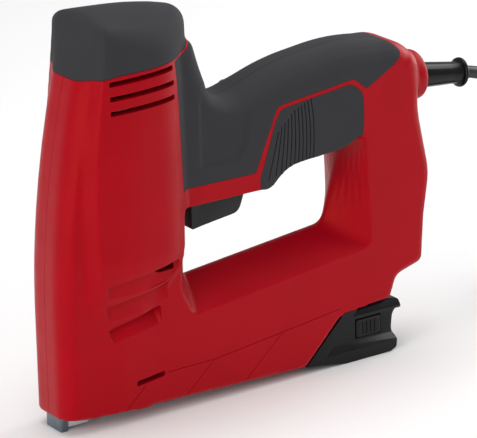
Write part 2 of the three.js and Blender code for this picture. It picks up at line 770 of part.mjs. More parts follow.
// ---- Electronics in the handle ----
const BOARD_TOP_Z = 122.4;
const CAPACITOR_R = 4.8;
const capacitorZ = BOARD_TOP_Z + GAP + CAPACITOR_R;
part("circuit_board", bar([100, 160], 20, [BOARD_TOP_Z - 1.4, BOARD_TOP_Z]), BOARD);
part("capacitor", rod([122, 0, capacitorZ], [140, 0, capacitorZ], CAPACITOR_R, CAPACITOR_R, 20), BLACK);
const thyristor = join(
  bar([104, 114], 9, [BOARD_TOP_Z + GAP, BOARD_TOP_Z + 5.6]),
  bar([104, 105.2], 12, [BOARD_TOP_Z + GAP, BOARD_TOP_Z + 9.6]),
);
part("power_thyristor", thyristor, BLACK);
part("terminal_block", bar([164, 173], 16, [124, 134]), NYLON);
const leads = [-4, 4].map((y) => ({
  name: y < 0 ? "coil_lead_left" : "coil_lead_right",
  points: [
    [COIL_X + WINDING_R + 1.3, y, 112],
    [COIL_X + COIL_R + 2, y, 121],
    [63, y, 128],
    [74, y, 129.5],
    [88, y, 129.5],
    [96, y, 125],
    [99.4, y, 121.8],
  ],
}));
leads.forEach(({ name, points }) => part(name, cordAlong(points, 1.8, 10), BLACK));

// ---- Magazine ----
const channelW = MAGAZINE_W - 2 * GAP;
const channelInner = channelW - 2 * CHANNEL_T;
const channel = cut(
  bar([13 + GAP, RAIL_REAR_X - 1], channelW, [4.4, MAGAZINE_TOP_Z - GAP]),
  bar([0, RAIL_REAR_X + 20], channelInner, [0, MAGAZINE_TOP_Z - GAP - CHANNEL_T]),
);
part("magazine_channel", channel, STEEL);
const railWalls = cut(
  bar([RAIL_X, RAIL_REAR_X + 8], RAIL_W, [RAIL_Z, RAIL_TOP_Z]),
  bar([RAIL_X - 5, RAIL_REAR_X + 20], RAIL_W - 2 * CHANNEL_T, [RAIL_Z + CHANNEL_T, RAIL_TOP_Z + 5]),
);
part("staple_rail", railWalls, STEEL);
const ROD_Z = RAIL_Z + 7;
part(
  "pusher_rod",
  rod([RAIL_X + 1, 0, ROD_Z], [RAIL_REAR_X + 8, 0, ROD_Z], ROD_R),
  DARK_STEEL,
);
const PUSHER_X = RAIL_X + 0.5;
const pusherX = [PUSHER_X, PUSHER_X + PUSHER_L];
const pusher = cut(
  join(
    bar(pusherX, RAIL_W - 2 * (CHANNEL_T + SLIDING), [RAIL_Z + CHANNEL_T + GAP, RAIL_TOP_Z + 1]),
    bar(pusherX, channelInner - 2 * SLIDING, [RAIL_TOP_Z + SLIDING, RAIL_TOP_Z + 2.2]),
  ),
  rod([PUSHER_X - 1, 0, ROD_Z], [PUSHER_X + PUSHER_L + 1, 0, ROD_Z], ROD_R + SLIDING),
);
part("staple_pusher", pusher, STEEL);
part(
  "pusher_spring",
  tube(
    [PUSHER_X + PUSHER_L + GAP, 0, ROD_Z],
    [RAIL_REAR_X - 2, 0, ROD_Z],
    ROD_R + 1.5,
    ROD_R + GAP,
    12,
  ),
  STEEL,
);

// The slide's end is a waisted grip behind a slanted joint, and it carries the rail.
const SLIDE_JOINT = 0.4;
const slideEnd = cut(
  across(
    [
      [SPLIT_X + SLIDE_JOINT, BASE_REAR_Z],
      [SPLIT_X + 22 + SLIDE_JOINT, SLIDE_TOP_Z - SLIDE_JOINT],
      [SLIDE_REAR_X - 5.5, SLIDE_TOP_Z + 0.3],
      [SLIDE_REAR_X, SLIDE_TOP_Z - 0.6],
      [SLIDE_REAR_X, 20.5],
      [SLIDE_REAR_X - 3, 17.5],
      [SLIDE_REAR_X - 4, 9],
      [SLIDE_REAR_X - 2.5, 5.5],
      [SLIDE_REAR_X - 3, 1.5],
      [SLIDE_REAR_X - 6, 0],
      [SPLIT_X + 24, 0],
      [SPLIT_X + 14, 1.6],
    ],
    BASE_W - 1,
  ),
  bar([SPLIT_X - 10, RAIL_REAR_X + 1], MAGAZINE_W + 2 * GAP, [-1, SLIDE_TOP_Z + 2]),
  bar([SPLIT_X, RAIL_REAR_X + 8 + GAP], RAIL_W + 2 * GAP, [RAIL_Z - GAP, RAIL_TOP_Z + GAP + 3]),
);
const slideFace = (BASE_W - 1) / 2;
const latchFace = slideFace - FINGER_HOLLOW;
// The finger hollows begin behind a slanted edge.
const [HOLLOW_LOW, HOLLOW_HIGH] = HOLLOW_Z;
const hollowX = (z) => SPLIT_X + 6 + z;
const fingerHollow = (side) =>
  slab(
    [
      [hollowX(HOLLOW_LOW), HOLLOW_LOW],
      [hollowX(HOLLOW_HIGH), HOLLOW_HIGH],
      [SLIDE_REAR_X + 10, HOLLOW_HIGH],
      [SLIDE_REAR_X + 10, HOLLOW_LOW],
    ],
    side > 0 ? latchFace : -WIDE,
    side > 0 ? WIDE : -latchFace,
  );
const latchPockets = [-1, 1].map((side) =>
  block(
    [LATCH_X[0] - GAP, LATCH_X[1] + GAP],
    side > 0 ? [latchFace - LATCH_DEPTH - 2.2, WIDE] : [-WIDE, -latchFace + LATCH_DEPTH + 2.2],
    [LATCH_Z[0] - GAP, LATCH_Z[1] + GAP],
  ),
);
part("magazine_slide", cut(slideEnd, fingerHollow(-1), fingerHollow(1), ...latchPockets), BLACK);
[-1, 1].forEach((side) =>
  part(
    side < 0 ? "slide_latch_left" : "slide_latch_right",
    block(
      LATCH_X,
      side > 0 ? [latchFace - LATCH_DEPTH, latchFace + 0.4] : [-latchFace - 0.4, -latchFace + LATCH_DEPTH],
      LATCH_Z,
    ),
    BLACK,
  ),
);

// ---- Cord ----
const sleeveStart = [BOSS_X + BOSS_LENGTH + GAP, 0, CORD_Z];
const sleeveEnd = [BOSS_X + BOSS_LENGTH + GAP + SLEEVE_LENGTH, 0, CORD_Z - SLEEVE_DROP];
const along = (t) => sleeveStart.map((v, i) => v + (sleeveEnd[i] - v) * t);
const cordBore = join(
  rod(along(0), along(1.1), CORD_D / 2 + GAP),
  rod([BOSS_X - 5, 0, CORD_Z], [sleeveStart[0] + 1, 0, CORD_Z], CORD_D / 2 + GAP),
);
const sleeve = cut(
  join(
    rod([BOSS_X - 1, 0, CORD_Z], [sleeveStart[0] + 0.5, 0, CORD_Z], 6.2, 6.2, 24),
    rod(along(0), along(0.97), 6.3, 5.0, 24),
    rod(along(0.93), along(1), 7.1, 7.1, 24),
  ),
  cordBore,
);
part("strain_relief", sleeve, BLACK);
const clampFootZ = CORD_Z + CORD_D / 2 + GAP;
const clampTopZ = clampFootZ + 2.7;
part("cord_clamp", bar([178, 184], 16, [clampFootZ, clampTopZ]), BLACK);
[-1, 1].forEach((side) =>
  part(
    side < 0 ? "clamp_screw_left" : "clamp_screw_right",
    rod([181, side * 5.8, clampTopZ + GAP], [181, side * 5.8, clampTopZ + 2], 2.2),
    STEEL,
  ),
);
part(
  "inner_cord",
  cordAlong([[173.4, 0, CORD_Z], [184, 0, CORD_Z], [193, 0, CORD_Z], [202, 0, CORD_Z]], CORD_D - 0.2, 8),
  BLACK,
);

const foldInner = FOLD_MEAN_R - (TURNS_ACROSS * TURN_PITCH) / 2;
const foldOuter = FOLD_MEAN_R + (TURNS_ACROSS * TURN_PITCH) / 2;
const hankLow = TIE_T + GAP;
const hankHigh = hankLow + TURNS_UP * TURN_PITCH;
const foldEnd = HANK_RUN / 2;
const stadium = (radius) =>
  Array.from({ length: 28 }, (_, k) => {
    const turn = ((k + 0.5) / 28) * 2 * Math.PI;
    const end = Math.sign(Math.cos(turn)) * foldEnd;
    return [HANK_X + end + radius * Math.cos(turn), radius * Math.sin(turn)];
  });
const hank = cut(
  pillar(stadium(foldOuter), hankLow, hankHigh, { round: 2 }),
  pillar(stadium(foldInner), hankLow - 1, hankHigh + 1),
);
part("cord_hank", hank, BLACK);
const tieInner = foldOuter + GAP;
const tie = cut(
  block(
    [HANK_X - 4, HANK_X + 4],
    [-tieInner - TIE_T, tieInner + TIE_T],
    [0, hankHigh + GAP + TIE_T],
  ),
  block([HANK_X - 10, HANK_X + 10], [-tieInner, tieInner], [TIE_T, hankHigh + GAP]),
);
part("hank_tie", tie, BLACK);
// The cord drops from its sleeve in a wide bend and lies down on the hank, whose first turn is its
// innermost and highest. Its end leaves the outer turns at the far fold and carries the plug back
// over the strap.
const landingY = -(foldInner + TURN_PITCH / 2);
const topZ = hankHigh + GAP + CORD_D / 2;
const landingX = HANK_X - foldEnd - 8;
const CORD_ROUTE = [
  along(1 + GAP / SLEEVE_LENGTH),
  [237, 0, 122.5],
  [246.5, -0.2, 119.2],
  [254.5, -1, 113],
  [260.3, -2.4, 104.6],
  [263.8, -4.4, 94.5],
  [266, -7.2, 82],
  [268.2, -10.4, 69.5],
  [271.6, -13.6, 56.6],
  [277, -16.2, 45],
  [284.4, landingY + 0.6, 35.8],
  [landingX - 2, landingY, topZ + 0.4],
  [landingX + 6, landingY, topZ],
];
part("power_cord", cordAlong(CORD_ROUTE, CORD_D, 18), BLACK);
const plugFootZ = hankHigh + 2 * GAP + TIE_T;
const plugY = 12;
const plugX = HANK_X + 8;
const onFold = (degrees, radius, z) => {
  const turn = THREE.MathUtils.degToRad(degrees);
  return [HANK_X + foldEnd + radius * Math.cos(turn), radius * Math.sin(turn), z];
};
const CORD_TAIL = [
  onFold(0, FOLD_MEAN_R, topZ + 0.4),
  onFold(30, FOLD_MEAN_R - 1, topZ + 1.4),
  onFold(60, FOLD_MEAN_R - 2, topZ + 2.2),
  onFold(90, FOLD_MEAN_R - 3.2, topZ + 3),
  [HANK_X + 22, 15, plugFootZ + PLUG_T / 2 - 0.6],
  [plugX + 1.2, plugY, plugFootZ + PLUG_T / 2],
];
part("cord_tail", cordAlong(CORD_TAIL, CORD_D, 8), BLACK);
const plugBody = pillar(
  [
    [plugX, plugY + 5],
    [plugX - 13, plugY + 8],
    [plugX - 21, plugY + PLUG_W / 2, 4],
    [plugX - PLUG_LENGTH, plugY + PLUG_W / 2 - 1],
    [plugX - PLUG_LENGTH, plugY - PLUG_W / 2 + 1],
    [plugX - 21, plugY - PLUG_W / 2, 4],
    [plugX - 13, plugY - 8],
    [plugX, plugY - 5],
  ],
  plugFootZ,
  plugFootZ + PLUG_T,
  { round: 2 },
);
part("plug_body", plugBody, BLACK);
[-1, 1].forEach((side) => {
  const at = (x) => [x, plugY + (side * PLUG_PIN_PITCH) / 2, plugFootZ + PLUG_T / 2];
  const pin = rod(at(plugX - PLUG_LENGTH - GAP), at(plugX - PLUG_LENGTH - 19), 2.4, 2.2, 14);
  part(side < 0 ? "plug_pin_left" : "plug_pin_right", pin, BRASS);
});

export default staple_gun;
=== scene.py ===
"""Looks of a corded electric staple gun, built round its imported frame.

Outlines are written in millimetres and placed in metres, in the frame of the part: X runs back
towards the cord, Z up along the driver blade, and the two housing halves part on Y = 0.
"""

import logging
import math
from dataclasses import dataclass
from enum import Enum
from typing import Optional, Sequence

import bpy
from mathutils import Matrix, Vector


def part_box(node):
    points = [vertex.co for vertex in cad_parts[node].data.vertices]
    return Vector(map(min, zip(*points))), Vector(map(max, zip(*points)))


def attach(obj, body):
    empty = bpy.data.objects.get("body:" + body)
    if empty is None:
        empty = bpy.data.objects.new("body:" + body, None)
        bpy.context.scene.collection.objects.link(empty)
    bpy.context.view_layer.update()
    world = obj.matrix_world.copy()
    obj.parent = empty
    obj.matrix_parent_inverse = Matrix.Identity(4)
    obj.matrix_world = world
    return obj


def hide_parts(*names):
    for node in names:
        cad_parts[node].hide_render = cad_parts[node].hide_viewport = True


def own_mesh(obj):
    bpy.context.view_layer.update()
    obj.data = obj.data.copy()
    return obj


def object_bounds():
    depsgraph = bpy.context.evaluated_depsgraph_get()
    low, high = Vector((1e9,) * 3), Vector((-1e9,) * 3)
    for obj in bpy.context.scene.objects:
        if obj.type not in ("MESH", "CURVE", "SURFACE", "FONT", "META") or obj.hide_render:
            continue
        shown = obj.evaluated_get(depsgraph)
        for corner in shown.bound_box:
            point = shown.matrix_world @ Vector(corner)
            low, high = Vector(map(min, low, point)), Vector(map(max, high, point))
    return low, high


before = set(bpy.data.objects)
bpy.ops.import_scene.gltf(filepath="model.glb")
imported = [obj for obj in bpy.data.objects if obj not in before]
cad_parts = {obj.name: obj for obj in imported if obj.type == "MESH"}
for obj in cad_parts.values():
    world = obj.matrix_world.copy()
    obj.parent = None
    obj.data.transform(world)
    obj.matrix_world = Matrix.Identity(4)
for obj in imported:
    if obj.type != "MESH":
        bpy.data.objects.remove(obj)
CAD_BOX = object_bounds()

MM = 0.001
LOG = logging.getLogger("staple_gun")
Point = tuple[float, float, float]
Flat = tuple[float, float]
WIDE = 42.0  # reaches past both sides of the tool
FAR = 400.0  # reaches past all of it
PROUD = 19.0  # stands just outside the frame's flat faces
CORD_Z = 128.2  # height of the cord's axis where it leaves the handle
PIVOT = 99.0  # X and Z of the trigger's pin


# ---- Tools of the bench ----


class Operation(Enum):
    """How a tool solid changes its target."""

    CUT = "DIFFERENCE"
    KEEP = "INTERSECT"


class Lies(Enum):
    """The plane that an outline is drawn in, named by the axis that it is extruded along."""

    ALONG_X = "x"
    ALONG_Y = "y"
    ALONG_Z = "z"

    def place(self, a: float, b: float, depth: float) -> Point:
        """Returns the point that outline coordinates and a depth stand for.

        Args:
            a: the outline's first coordinate.
            b: its second coordinate.
            depth: the place along the extrusion.

        Returns:
            The point in space.
        """
        if self is Lies.ALONG_X:
            return (depth, a, b)
        if self is Lies.ALONG_Y:
            return (a, depth, b)
        return (a, b, depth)


@dataclass(frozen=True)
class Corner:
    """A corner of an outline, rounded over r, whose long edge is rounded over edge."""

    a: float
    b: float
    r: float = 0.0
    edge: float = 0.0


def deselect() -> None:
    """Leaves nothing selected."""
    for item in bpy.context.selected_objects:
        item.select_set(False)


def activate(piece: bpy.types.Object) -> None:
    """Makes piece the one selected and active object.

    Args:
        piece: the object to select.
    """
    deselect()
    piece.select_set(True)
    bpy.context.view_layer.objects.active = piece


def apply_modifier(piece: bpy.types.Object, kind: str, **settings: object) -> None:
    """Adds a modifier of that kind to piece and applies it.

    Args:
        piece: the mesh object to change.
        kind: Blender's name of the modifier type.
        settings: the modifier's own values.
    """
    activate(piece)
    modifier = piece.modifiers.new(kind.lower(), kind)
    for name, value in settings.items():
        setattr(modifier, name, value)
    bpy.ops.object.modifier_apply(modifier=modifier.name)


def combine(target: bpy.types.Object, tool: bpy.types.Object, how: Operation) -> None:
    """Cuts target with tool, or keeps what both share, and uses the tool up.

    Args:
        target: the solid that changes.
        tool: the solid that changes it.
        how: the operation.
    """
    apply_modifier(target, "BOOLEAN", object=tool, operation=how.value, solver="MANIFOLD")
    bpy.data.objects.remove(tool)


def rounded(corners: Sequence[Corner], steps: int = 6) -> list[tuple[float, float, float]]:
    """Rounds an outline's corners.

    Args:
        corners: the outline's corners in order.
        steps: points on each corner's arc, less one.

    Returns:
        Points (a, b, edge), the same number for every corner.
    """
    points = []
    for i, corner in enumerate(corners):
        here = Vector((corner.a, corner.b))
        before = Vector((corners[i - 1].a, corners[i - 1].b)) - here
        after_corner = corners[(i + 1) % len(corners)]
        after = Vector((after_corner.a, after_corner.b)) - here
        reach = min(corner.r, before.length * 0.49, after.length * 0.49)
        start = here + before.normalized() * reach
        end = here + after.normalized() * reach
        for k in range(steps + 1):
            t = k / steps
            at = start * (1 - t) ** 2 + here * (2 * t * (1 - t)) + end * t**2
            points.append((at.x, at.y, corner.edge))
    return points


def rectangle(a: Flat, b: Flat, r: float) -> list[Corner]:
    """Returns the four corners of an upright rectangle between two pairs of limits."""
    (left, right), (low, high) = a, b
    return [Corner(*at, r) for at in ((left, low), (right, low), (right, high), (left, high))]


def quarter(edge: float, degrees: float) -> Flat:
    """Returns how far a rounded edge has gone inwards and is still short of the face at an angle."""
    angle = math.radians(degrees)
    return edge * (1 - math.cos(angle)), edge * (1 - math.sin(angle))


def close_up(piece: bpy.types.Object) -> None:
    """Caps the open ends of a tube and turns its faces outwards.

    Args:
        piece: the mesh object to close.
    """
    activate(piece)
    bpy.ops.object.mode_set(mode="EDIT")
    bpy.ops.mesh.select_all(action="SELECT")
    bpy.ops.mesh.fill_holes(sides=0)
    bpy.ops.mesh.select_all(action="SELECT")
    bpy.ops.mesh.normals_make_consistent(inside=False)
    bpy.ops.object.mode_set(mode="OBJECT")


def loft(name: str, rings: Sequence[Sequence[Point]]) -> bpy.types.Object:
    """Builds a closed solid through rings of points.

    Args:
        name: the object's name.
        rings: rings of the same number of points, in millimetres.

    Returns:
        The solid, with flat ends.
    """
    around = len(rings[0])
    deselect()
    bpy.ops.mesh.primitive_grid_add(x_subdivisions=around, y_subdivisions=len(rings) - 1, size=1)
    solid = bpy.context.object
    solid.name = name
    spread = [axis * MM for ring in rings for point in (*ring, ring[0]) for axis in point]
    solid.data.vertices.foreach_set("co", spread)
    bpy.ops.object.mode_set(mode="EDIT")
    bpy.ops.mesh.select_all(action="SELECT")
    bpy.ops.mesh.remove_doubles(threshold=1e-6)
    bpy.ops.object.mode_set(mode="OBJECT")
    close_up(solid)
    return solid


def prism(
    name: str, corners: Sequence[Corner], lies: Lies, low: float, high: float
) -> bpy.types.Object:
    """Extrudes a rounded outline between two depths, in millimetres."""
    outline = rounded(corners)
    return loft(name, [[lies.place(a, b, depth) for a, b, _ in outline] for depth in (low, high)])


def block(name: str, x: Flat, y: Flat, z: Flat) -> bpy.types.Object:
    """Makes a block between three pairs of limits, in millimetres.

    Args:
        name: the object's name.
        x: its limits along X.
        y: along Y.
        z: along Z.

    Returns:
        The block.
    """
    deselect()
    centre = [sum(pair) / 2 * MM for pair in (x, y, z)]
    size = [(pair[1] - pair[0]) * MM for pair in (x, y, z)]
    bpy.ops.mesh.primitive_cube_add(size=1, location=centre, scale=size)
    solid = bpy.context.object
    solid.name = name
    settle(solid)
    return solid


def settle(piece: bpy.types.Object) -> None:
    """Moves an object's place, turn and size into its mesh."""
    activate(piece)
    bpy.ops.object.transform_apply(location=True, rotation=True, scale=True)


def turned(
    name: str, profile: Sequence[Flat], start: Vector, end: Vector, sides: int = 48
) -> bpy.types.Object:
    """Builds a round solid from a profile of (share along the axis, radius in millimetres).

    Args:
        name: the object's name.
        profile: the profile from the start to the end of the axis.
        start: the axis's start, in millimetres.
        end: the axis's end.
        sides: points round each ring.

    Returns:
        The solid, with flat ends.
    """
    axis = end - start
    turn = axis.to_track_quat("Z", "X")
    rings = []
    for share, radius in profile:
        middle = start + axis * share
        ring = []
        for k in range(sides):
            angle = 2 * math.pi * k / sides
            rim = turn @ Vector((radius * math.cos(angle), radius * math.sin(angle), 0))
            ring.append(tuple(middle + rim))
        rings.append(ring)
    return loft(name, rings)


def smooth_by_angle(piece: bpy.types.Object, degrees: float = 32) -> None:
    """Shades a piece smooth, apart from its sharp edges."""
    activate(piece)
    bpy.ops.object.shade_smooth_by_angle(angle=math.radians(degrees))


def soften(piece: bpy.types.Object, width: float, segments: int = 3) -> None:
    """Rounds the sharp edges of a piece over a width in millimetres.

    Args:
        piece: the mesh object to change.
        width: the width of the rounding.
        segments: the steps across it.
    """
    apply_modifier(piece, "BEVEL", width=width * MM, segments=segments, limit_method="ANGLE",
                   angle_limit=math.radians(28))
    smooth_by_angle(piece)


def remesh(piece: bpy.types.Object, voxel: float, smoothing: int) -> None:
    """Merges a piece's overlapping shells into one even surface and rounds its edges.

    Args:
        piece: the mesh object to change.
        voxel: the size of a voxel, in millimetres.
        smoothing: how many times the surface is smoothed.
    """
    apply_modifier(piece, "REMESH", mode="VOXEL", voxel_size=voxel * MM, use_smooth_shade=True)
    if smoothing:
        apply_modifier(piece, "SMOOTH", factor=0.5, iterations=smoothing)


def copy_of(piece: bpy.types.Object, name: str) -> bpy.types.Object:
    """Returns a copy of a piece with its own mesh.

    Args:
        piece: the object to copy.
        name: the copy's name.

    Returns:
        The copy, in the scene.
    """
    twin = piece.copy()
    twin.data = piece.data.copy()
    twin.name = name
    bpy.context.scene.collection.objects.link(twin)
    return twin


def merge(name: str, pieces: Sequence[bpy.types.Object]) -> bpy.types.Object:
    """Puts several meshes in one object, their shells still apart.

    Args:
        name: the new object's name.
        pieces: the objects to put together.

    Returns:
        The one object.
    """
    deselect()
    for piece in pieces:
        piece.select_set(True)
    bpy.context.view_layer.objects.active = pieces[0]
    bpy.ops.object.join()
    pieces[0].name = name
    return pieces[0]


def largest_part(piece: bpy.types.Object, name: str) -> bpy.types.Object:
    """Keeps only the largest separate part of a piece, without the slivers that a cut can leave.

    Args:
        piece: the mesh object to change.
        name: the name of what is kept.

    Returns:
        The largest part.
    """
    activate(piece)
    bpy.ops.object.mode_set(mode="EDIT")
    bpy.ops.mesh.select_all(action="SELECT")
    bpy.ops.mesh.remove_doubles(threshold=2e-6)
    bpy.ops.mesh.separate(type="LOOSE")
    bpy.ops.object.mode_set(mode="OBJECT")
    parts = sorted(bpy.context.selected_objects, key=lambda part: len(part.data.vertices))
    for part in parts[:-1]:
        bpy.data.objects.remove(part)
    parts[-1].name = name
    return parts[-1]


def smoothstep(low: float, high: float, value: float) -> float:
    """Returns 0 below low, 1 above high and a smooth rise between."""
    t = min(max((value - low) / (high - low), 0.0), 1.0)
    return t * t * (3 - 2 * t)


def between(table: Sequence[Flat], value: float) -> float:
    """Reads a table of (place, value) pairs at a place, with straight lines between its pairs.

    Args:
        table: pairs in the order of their places.
        value: the place to read at.

    Returns:
        The value there.
    """
    if value <= table[0][0]:
        return table[0][1]
    for (a, low), (b, high) in zip(table, table[1:]):
        if value <= b:
            return low + (high - low) * (value - a) / (b - a)
    return table[-1][1]


# ---- Finishes ----


class Nodes:
    """A material's node tree, with short ways to add to it."""

    def __init__(self, name: str) -> None:
        """Makes an empty material with a Principled shader.

        Args:
            name: the material's name.
        """
        self.material = bpy.data.materials.new(name)
        self.material.use_nodes = True
        self.tree = self.material.node_tree
        self.shader = self.tree.nodes["Principled BSDF"]
        self.place = self.tree.nodes.new("ShaderNodeTexCoord").outputs["Object"]

    def add(self, kind: str, **settings: object) -> bpy.types.Node:
        """Adds a node and sets its properties.

        Args:
            kind: the node's type.
            settings: its own properties.

        Returns:
            The node.
        """
        node = self.tree.nodes.new(kind)
        for name, value in settings.items():
            setattr(node, name, value)
        return node

    def link(self, output: bpy.types.NodeSocket, target: bpy.types.NodeSocket) -> None:
        """Joins an output to an input."""
        self.tree.links.new(output, target)

    def stretched(self, scale: Point) -> bpy.types.NodeSocket:
        """Returns the place on the object, scaled along each axis.

        Args:
            scale: the scale along each axis.

        Returns:
            The scaled place.
        """
        mapping = self.add("ShaderNodeMapping")
        mapping.inputs["Scale"].default_value = scale
        self.link(self.place, mapping.inputs["Vector"])
        return mapping.outputs["Vector"]

    def noise(
        self,
        scale: float,
        detail: float = 3.0,
        where: Optional[bpy.types.NodeSocket] = None,
        roughness: float = 0.5,
    ) -> bpy.types.NodeSocket:
        """Returns a noise whose cells are about one over scale metres wide.

        Args:
            scale: cells per metre, about.
            detail: how many finer layers it has.
            where: the place to use, or the plain one.
            roughness: how strong the finer layers are.

        Returns:
            The noise's value.
        """
        node = self.add("ShaderNodeTexNoise")
        node.inputs["Scale"].default_value = scale
        node.inputs["Detail"].default_value = detail
        node.inputs["Roughness"].default_value = roughness
        self.link(where or self.place, node.inputs["Vector"])
        return node.outputs["Fac"]

    def spread(self, value: bpy.types.NodeSocket, low: float, high: float) -> bpy.types.NodeSocket:
        """Returns value, which lies about 0.3 to 0.7, spread from low to high.

        Args:
            value: the noise.
            low: the lowest result.
            high: the highest result.

        Returns:
            The spread value.
        """
        node = self.add("ShaderNodeMapRange")
        node.inputs["From Min"].default_value = 0.3
        node.inputs["From Max"].default_value = 0.7
        node.inputs["To Min"].default_value = low
        node.inputs["To Max"].default_value = high
        self.link(value, node.inputs["Value"])
        return node.outputs["Result"]

    def blend(
        self, share: bpy.types.NodeSocket, first: Point, second: Point
    ) -> bpy.types.NodeSocket:
        """Returns a colour between two by a share from 0 to 1.

        Args:
            share: how much of the second colour.
            first: the colour at 0.
            second: the colour at 1.

        Returns:
            The colour.
        """
        node = self.add("ShaderNodeMix", data_type="RGBA")
        node.inputs["A"].default_value = (*first, 1)
        node.inputs["B"].default_value = (*second, 1)
        self.link(share, node.inputs["Factor"])
        return node.outputs["Result"]

    def bump(
        self,
        height: bpy.types.NodeSocket,
        depth: float,
        strength: float,
        under: Optional[bpy.types.NodeSocket] = None,
    ) -> bpy.types.NodeSocket:
        """Returns a normal bumped by a height, over another bump where one is given.

        Args:
            height: the height to follow.
            depth: its depth in metres.
            strength: how much of it shows.
            under: the bump below it.

        Returns:
            The bumped normal.
        """
        node = self.add("ShaderNodeBump")
        node.inputs["Strength"].default_value = strength
        node.inputs["Distance"].default_value = depth
        self.link(height, node.inputs["Height"])
        if under is not None:
            self.link(under, node.inputs["Normal"])
        return node.outputs["Normal"]

    def feed(self, socket: str, source: bpy.types.NodeSocket) -> None:
        """Joins an output to a socket of the shader."""
        self.link(source, self.shader.inputs[socket])

    def set(self, **values: object) -> None:
        """Sets sockets of the shader, named with _ for spaces."""
        for name, value in values.items():
            self.shader.inputs[name.replace("_", " ")].default_value = value


@dataclass(frozen=True)
class Plastic:
    """A moulded plastic or rubber: two close colours, a fine grain and a soft mottle."""

    name: str
    colour: Point
    deep: Point
    rough: Flat
    grain: float
    grain_depth: float
    grain_strength: float
    specular: float = 0.5
    tint: Point = (1.0, 1.0, 1.0)

    def make(self) -> bpy.types.Material:
        """Returns the material, made on first use.

        Returns:
            The material.
        """
        known = bpy.data.materials.get(self.name)
        if known:
            return known
        nodes = Nodes(self.name)
        fine = nodes.noise(self.grain, 2.0)
        broad = nodes.noise(38.0, 4.0)
        nodes.feed("Base Color", nodes.blend(nodes.spread(broad, 0.0, 1.0), self.colour, self.deep))
        nodes.feed("Roughness", nodes.spread(nodes.noise(120.0, 5.0), *self.rough))
        waves = nodes.bump(nodes.noise(90.0, 2.0), 0.00012, 0.12)
        nodes.feed("Normal", nodes.bump(fine, self.grain_depth, self.grain_strength, waves))
        nodes.set(Specular_IOR_Level=self.specular, Specular_Tint=(*self.tint, 1.0))
        return nodes.material


@dataclass(frozen=True)
class Metal:
    """A drawn or ground metal: fine scratches along one axis and uneven gloss."""

    name: str
    colour: Point
    worn: Point
    rough: Flat
    along: Point = (60.0, 2200.0, 2200.0)

    def make(self) -> bpy.types.Material:
        """Returns the material, made on first use.

        Returns:
            The material.
        """
        known = bpy.data.materials.get(self.name)
        if known:
            return known
        nodes = Nodes(self.name)
        scratches = nodes.noise(1.0, 4.0, nodes.stretched(self.along), 0.65)
        stains = nodes.noise(70.0, 5.0)
        nodes.feed("Base Color", nodes.blend(nodes.spread(stains, 0.0, 1.0), self.colour, self.worn))
        nodes.feed("Roughness", nodes.spread(scratches, *self.rough))
        nodes.feed("Normal", nodes.bump(scratches, 0.00003, 0.35))
        nodes.set(Metallic=1.0)
        return nodes.material


@dataclass(frozen=True)
class WoundWire:
    """Enamelled wire in close layers round an upright axis, its darker bands painted shade between
    the turns.
    """

    name: str
    colour: Point
    deep: Point
    pitch: float

    def make(self) -> bpy.types.Material:
        """Returns the material, made on first use.

        Returns:
            The material.
        """
        known = bpy.data.materials.get(self.name)
        if known:
            return known
        nodes = Nodes(self.name)
        wave = nodes.add("ShaderNodeTexWave", wave_type="BANDS", bands_direction="Z")
        wave.inputs["Scale"].default_value = 0.314 / self.pitch
        wave.inputs["Distortion"].default_value = 0.4
        nodes.link(nodes.place, wave.inputs["Vector"])
        # Painted shade: the deep colour darkens the bands between the turns, where shade falls in the
        # grooves.
        nodes.feed("Base Color", nodes.blend(wave.outputs["Fac"], self.deep, self.colour))
        nodes.feed("Roughness", nodes.spread(nodes.noise(200.0), 0.25, 0.4))
        nodes.feed("Normal", nodes.bump(wave.outputs["Fac"], 0.0002, 0.8))
        nodes.set(Metallic=0.9)
        return nodes.material


ACROSS_Z = (2200.0, 2200.0, 60.0)  # scratches that run upright

RED = Plastic("red_moulding", (0.37, 0.0006, 0.0095), (0.335, 0.0004, 0.008), (0.36, 0.46),
              2600.0, 0.00004, 0.3, specular=0.42, tint=(1.0, 0.16, 0.08))
GRIP = Plastic("soft_grip", (0.0085, 0.0080, 0.0088), (0.006, 0.0057, 0.0063), (0.46, 0.58),
               2200.0, 0.00006, 0.5, specular=0.28)
DARK = Plastic("dark_plastic", (0.007, 0.007, 0.0078), (0.005, 0.005, 0.0055), (0.34, 0.46),
               2400.0, 0.00003, 0.25, specular=0.35)
GLOSS = Plastic("gloss_plastic", (0.0035, 0.0037, 0.005), (0.0028, 0.003, 0.004), (0.14, 0.24),
                900.0, 0.00001, 0.05, specular=0.24)
SHEATH = Plastic("cable_sheath", (0.010, 0.010, 0.011), (0.0075, 0.0075, 0.008), (0.32, 0.42),
                 1500.0, 0.00003, 0.2)
NYLON = Plastic("natural_nylon", (0.62, 0.58, 0.48), (0.55, 0.51, 0.42), (0.4, 0.5),
                1500.0, 0.00003, 0.2)
BOARD = Plastic("green_board", (0.015, 0.11, 0.045), (0.012, 0.085, 0.035), (0.25, 0.35),
                1200.0, 0.00003, 0.2)
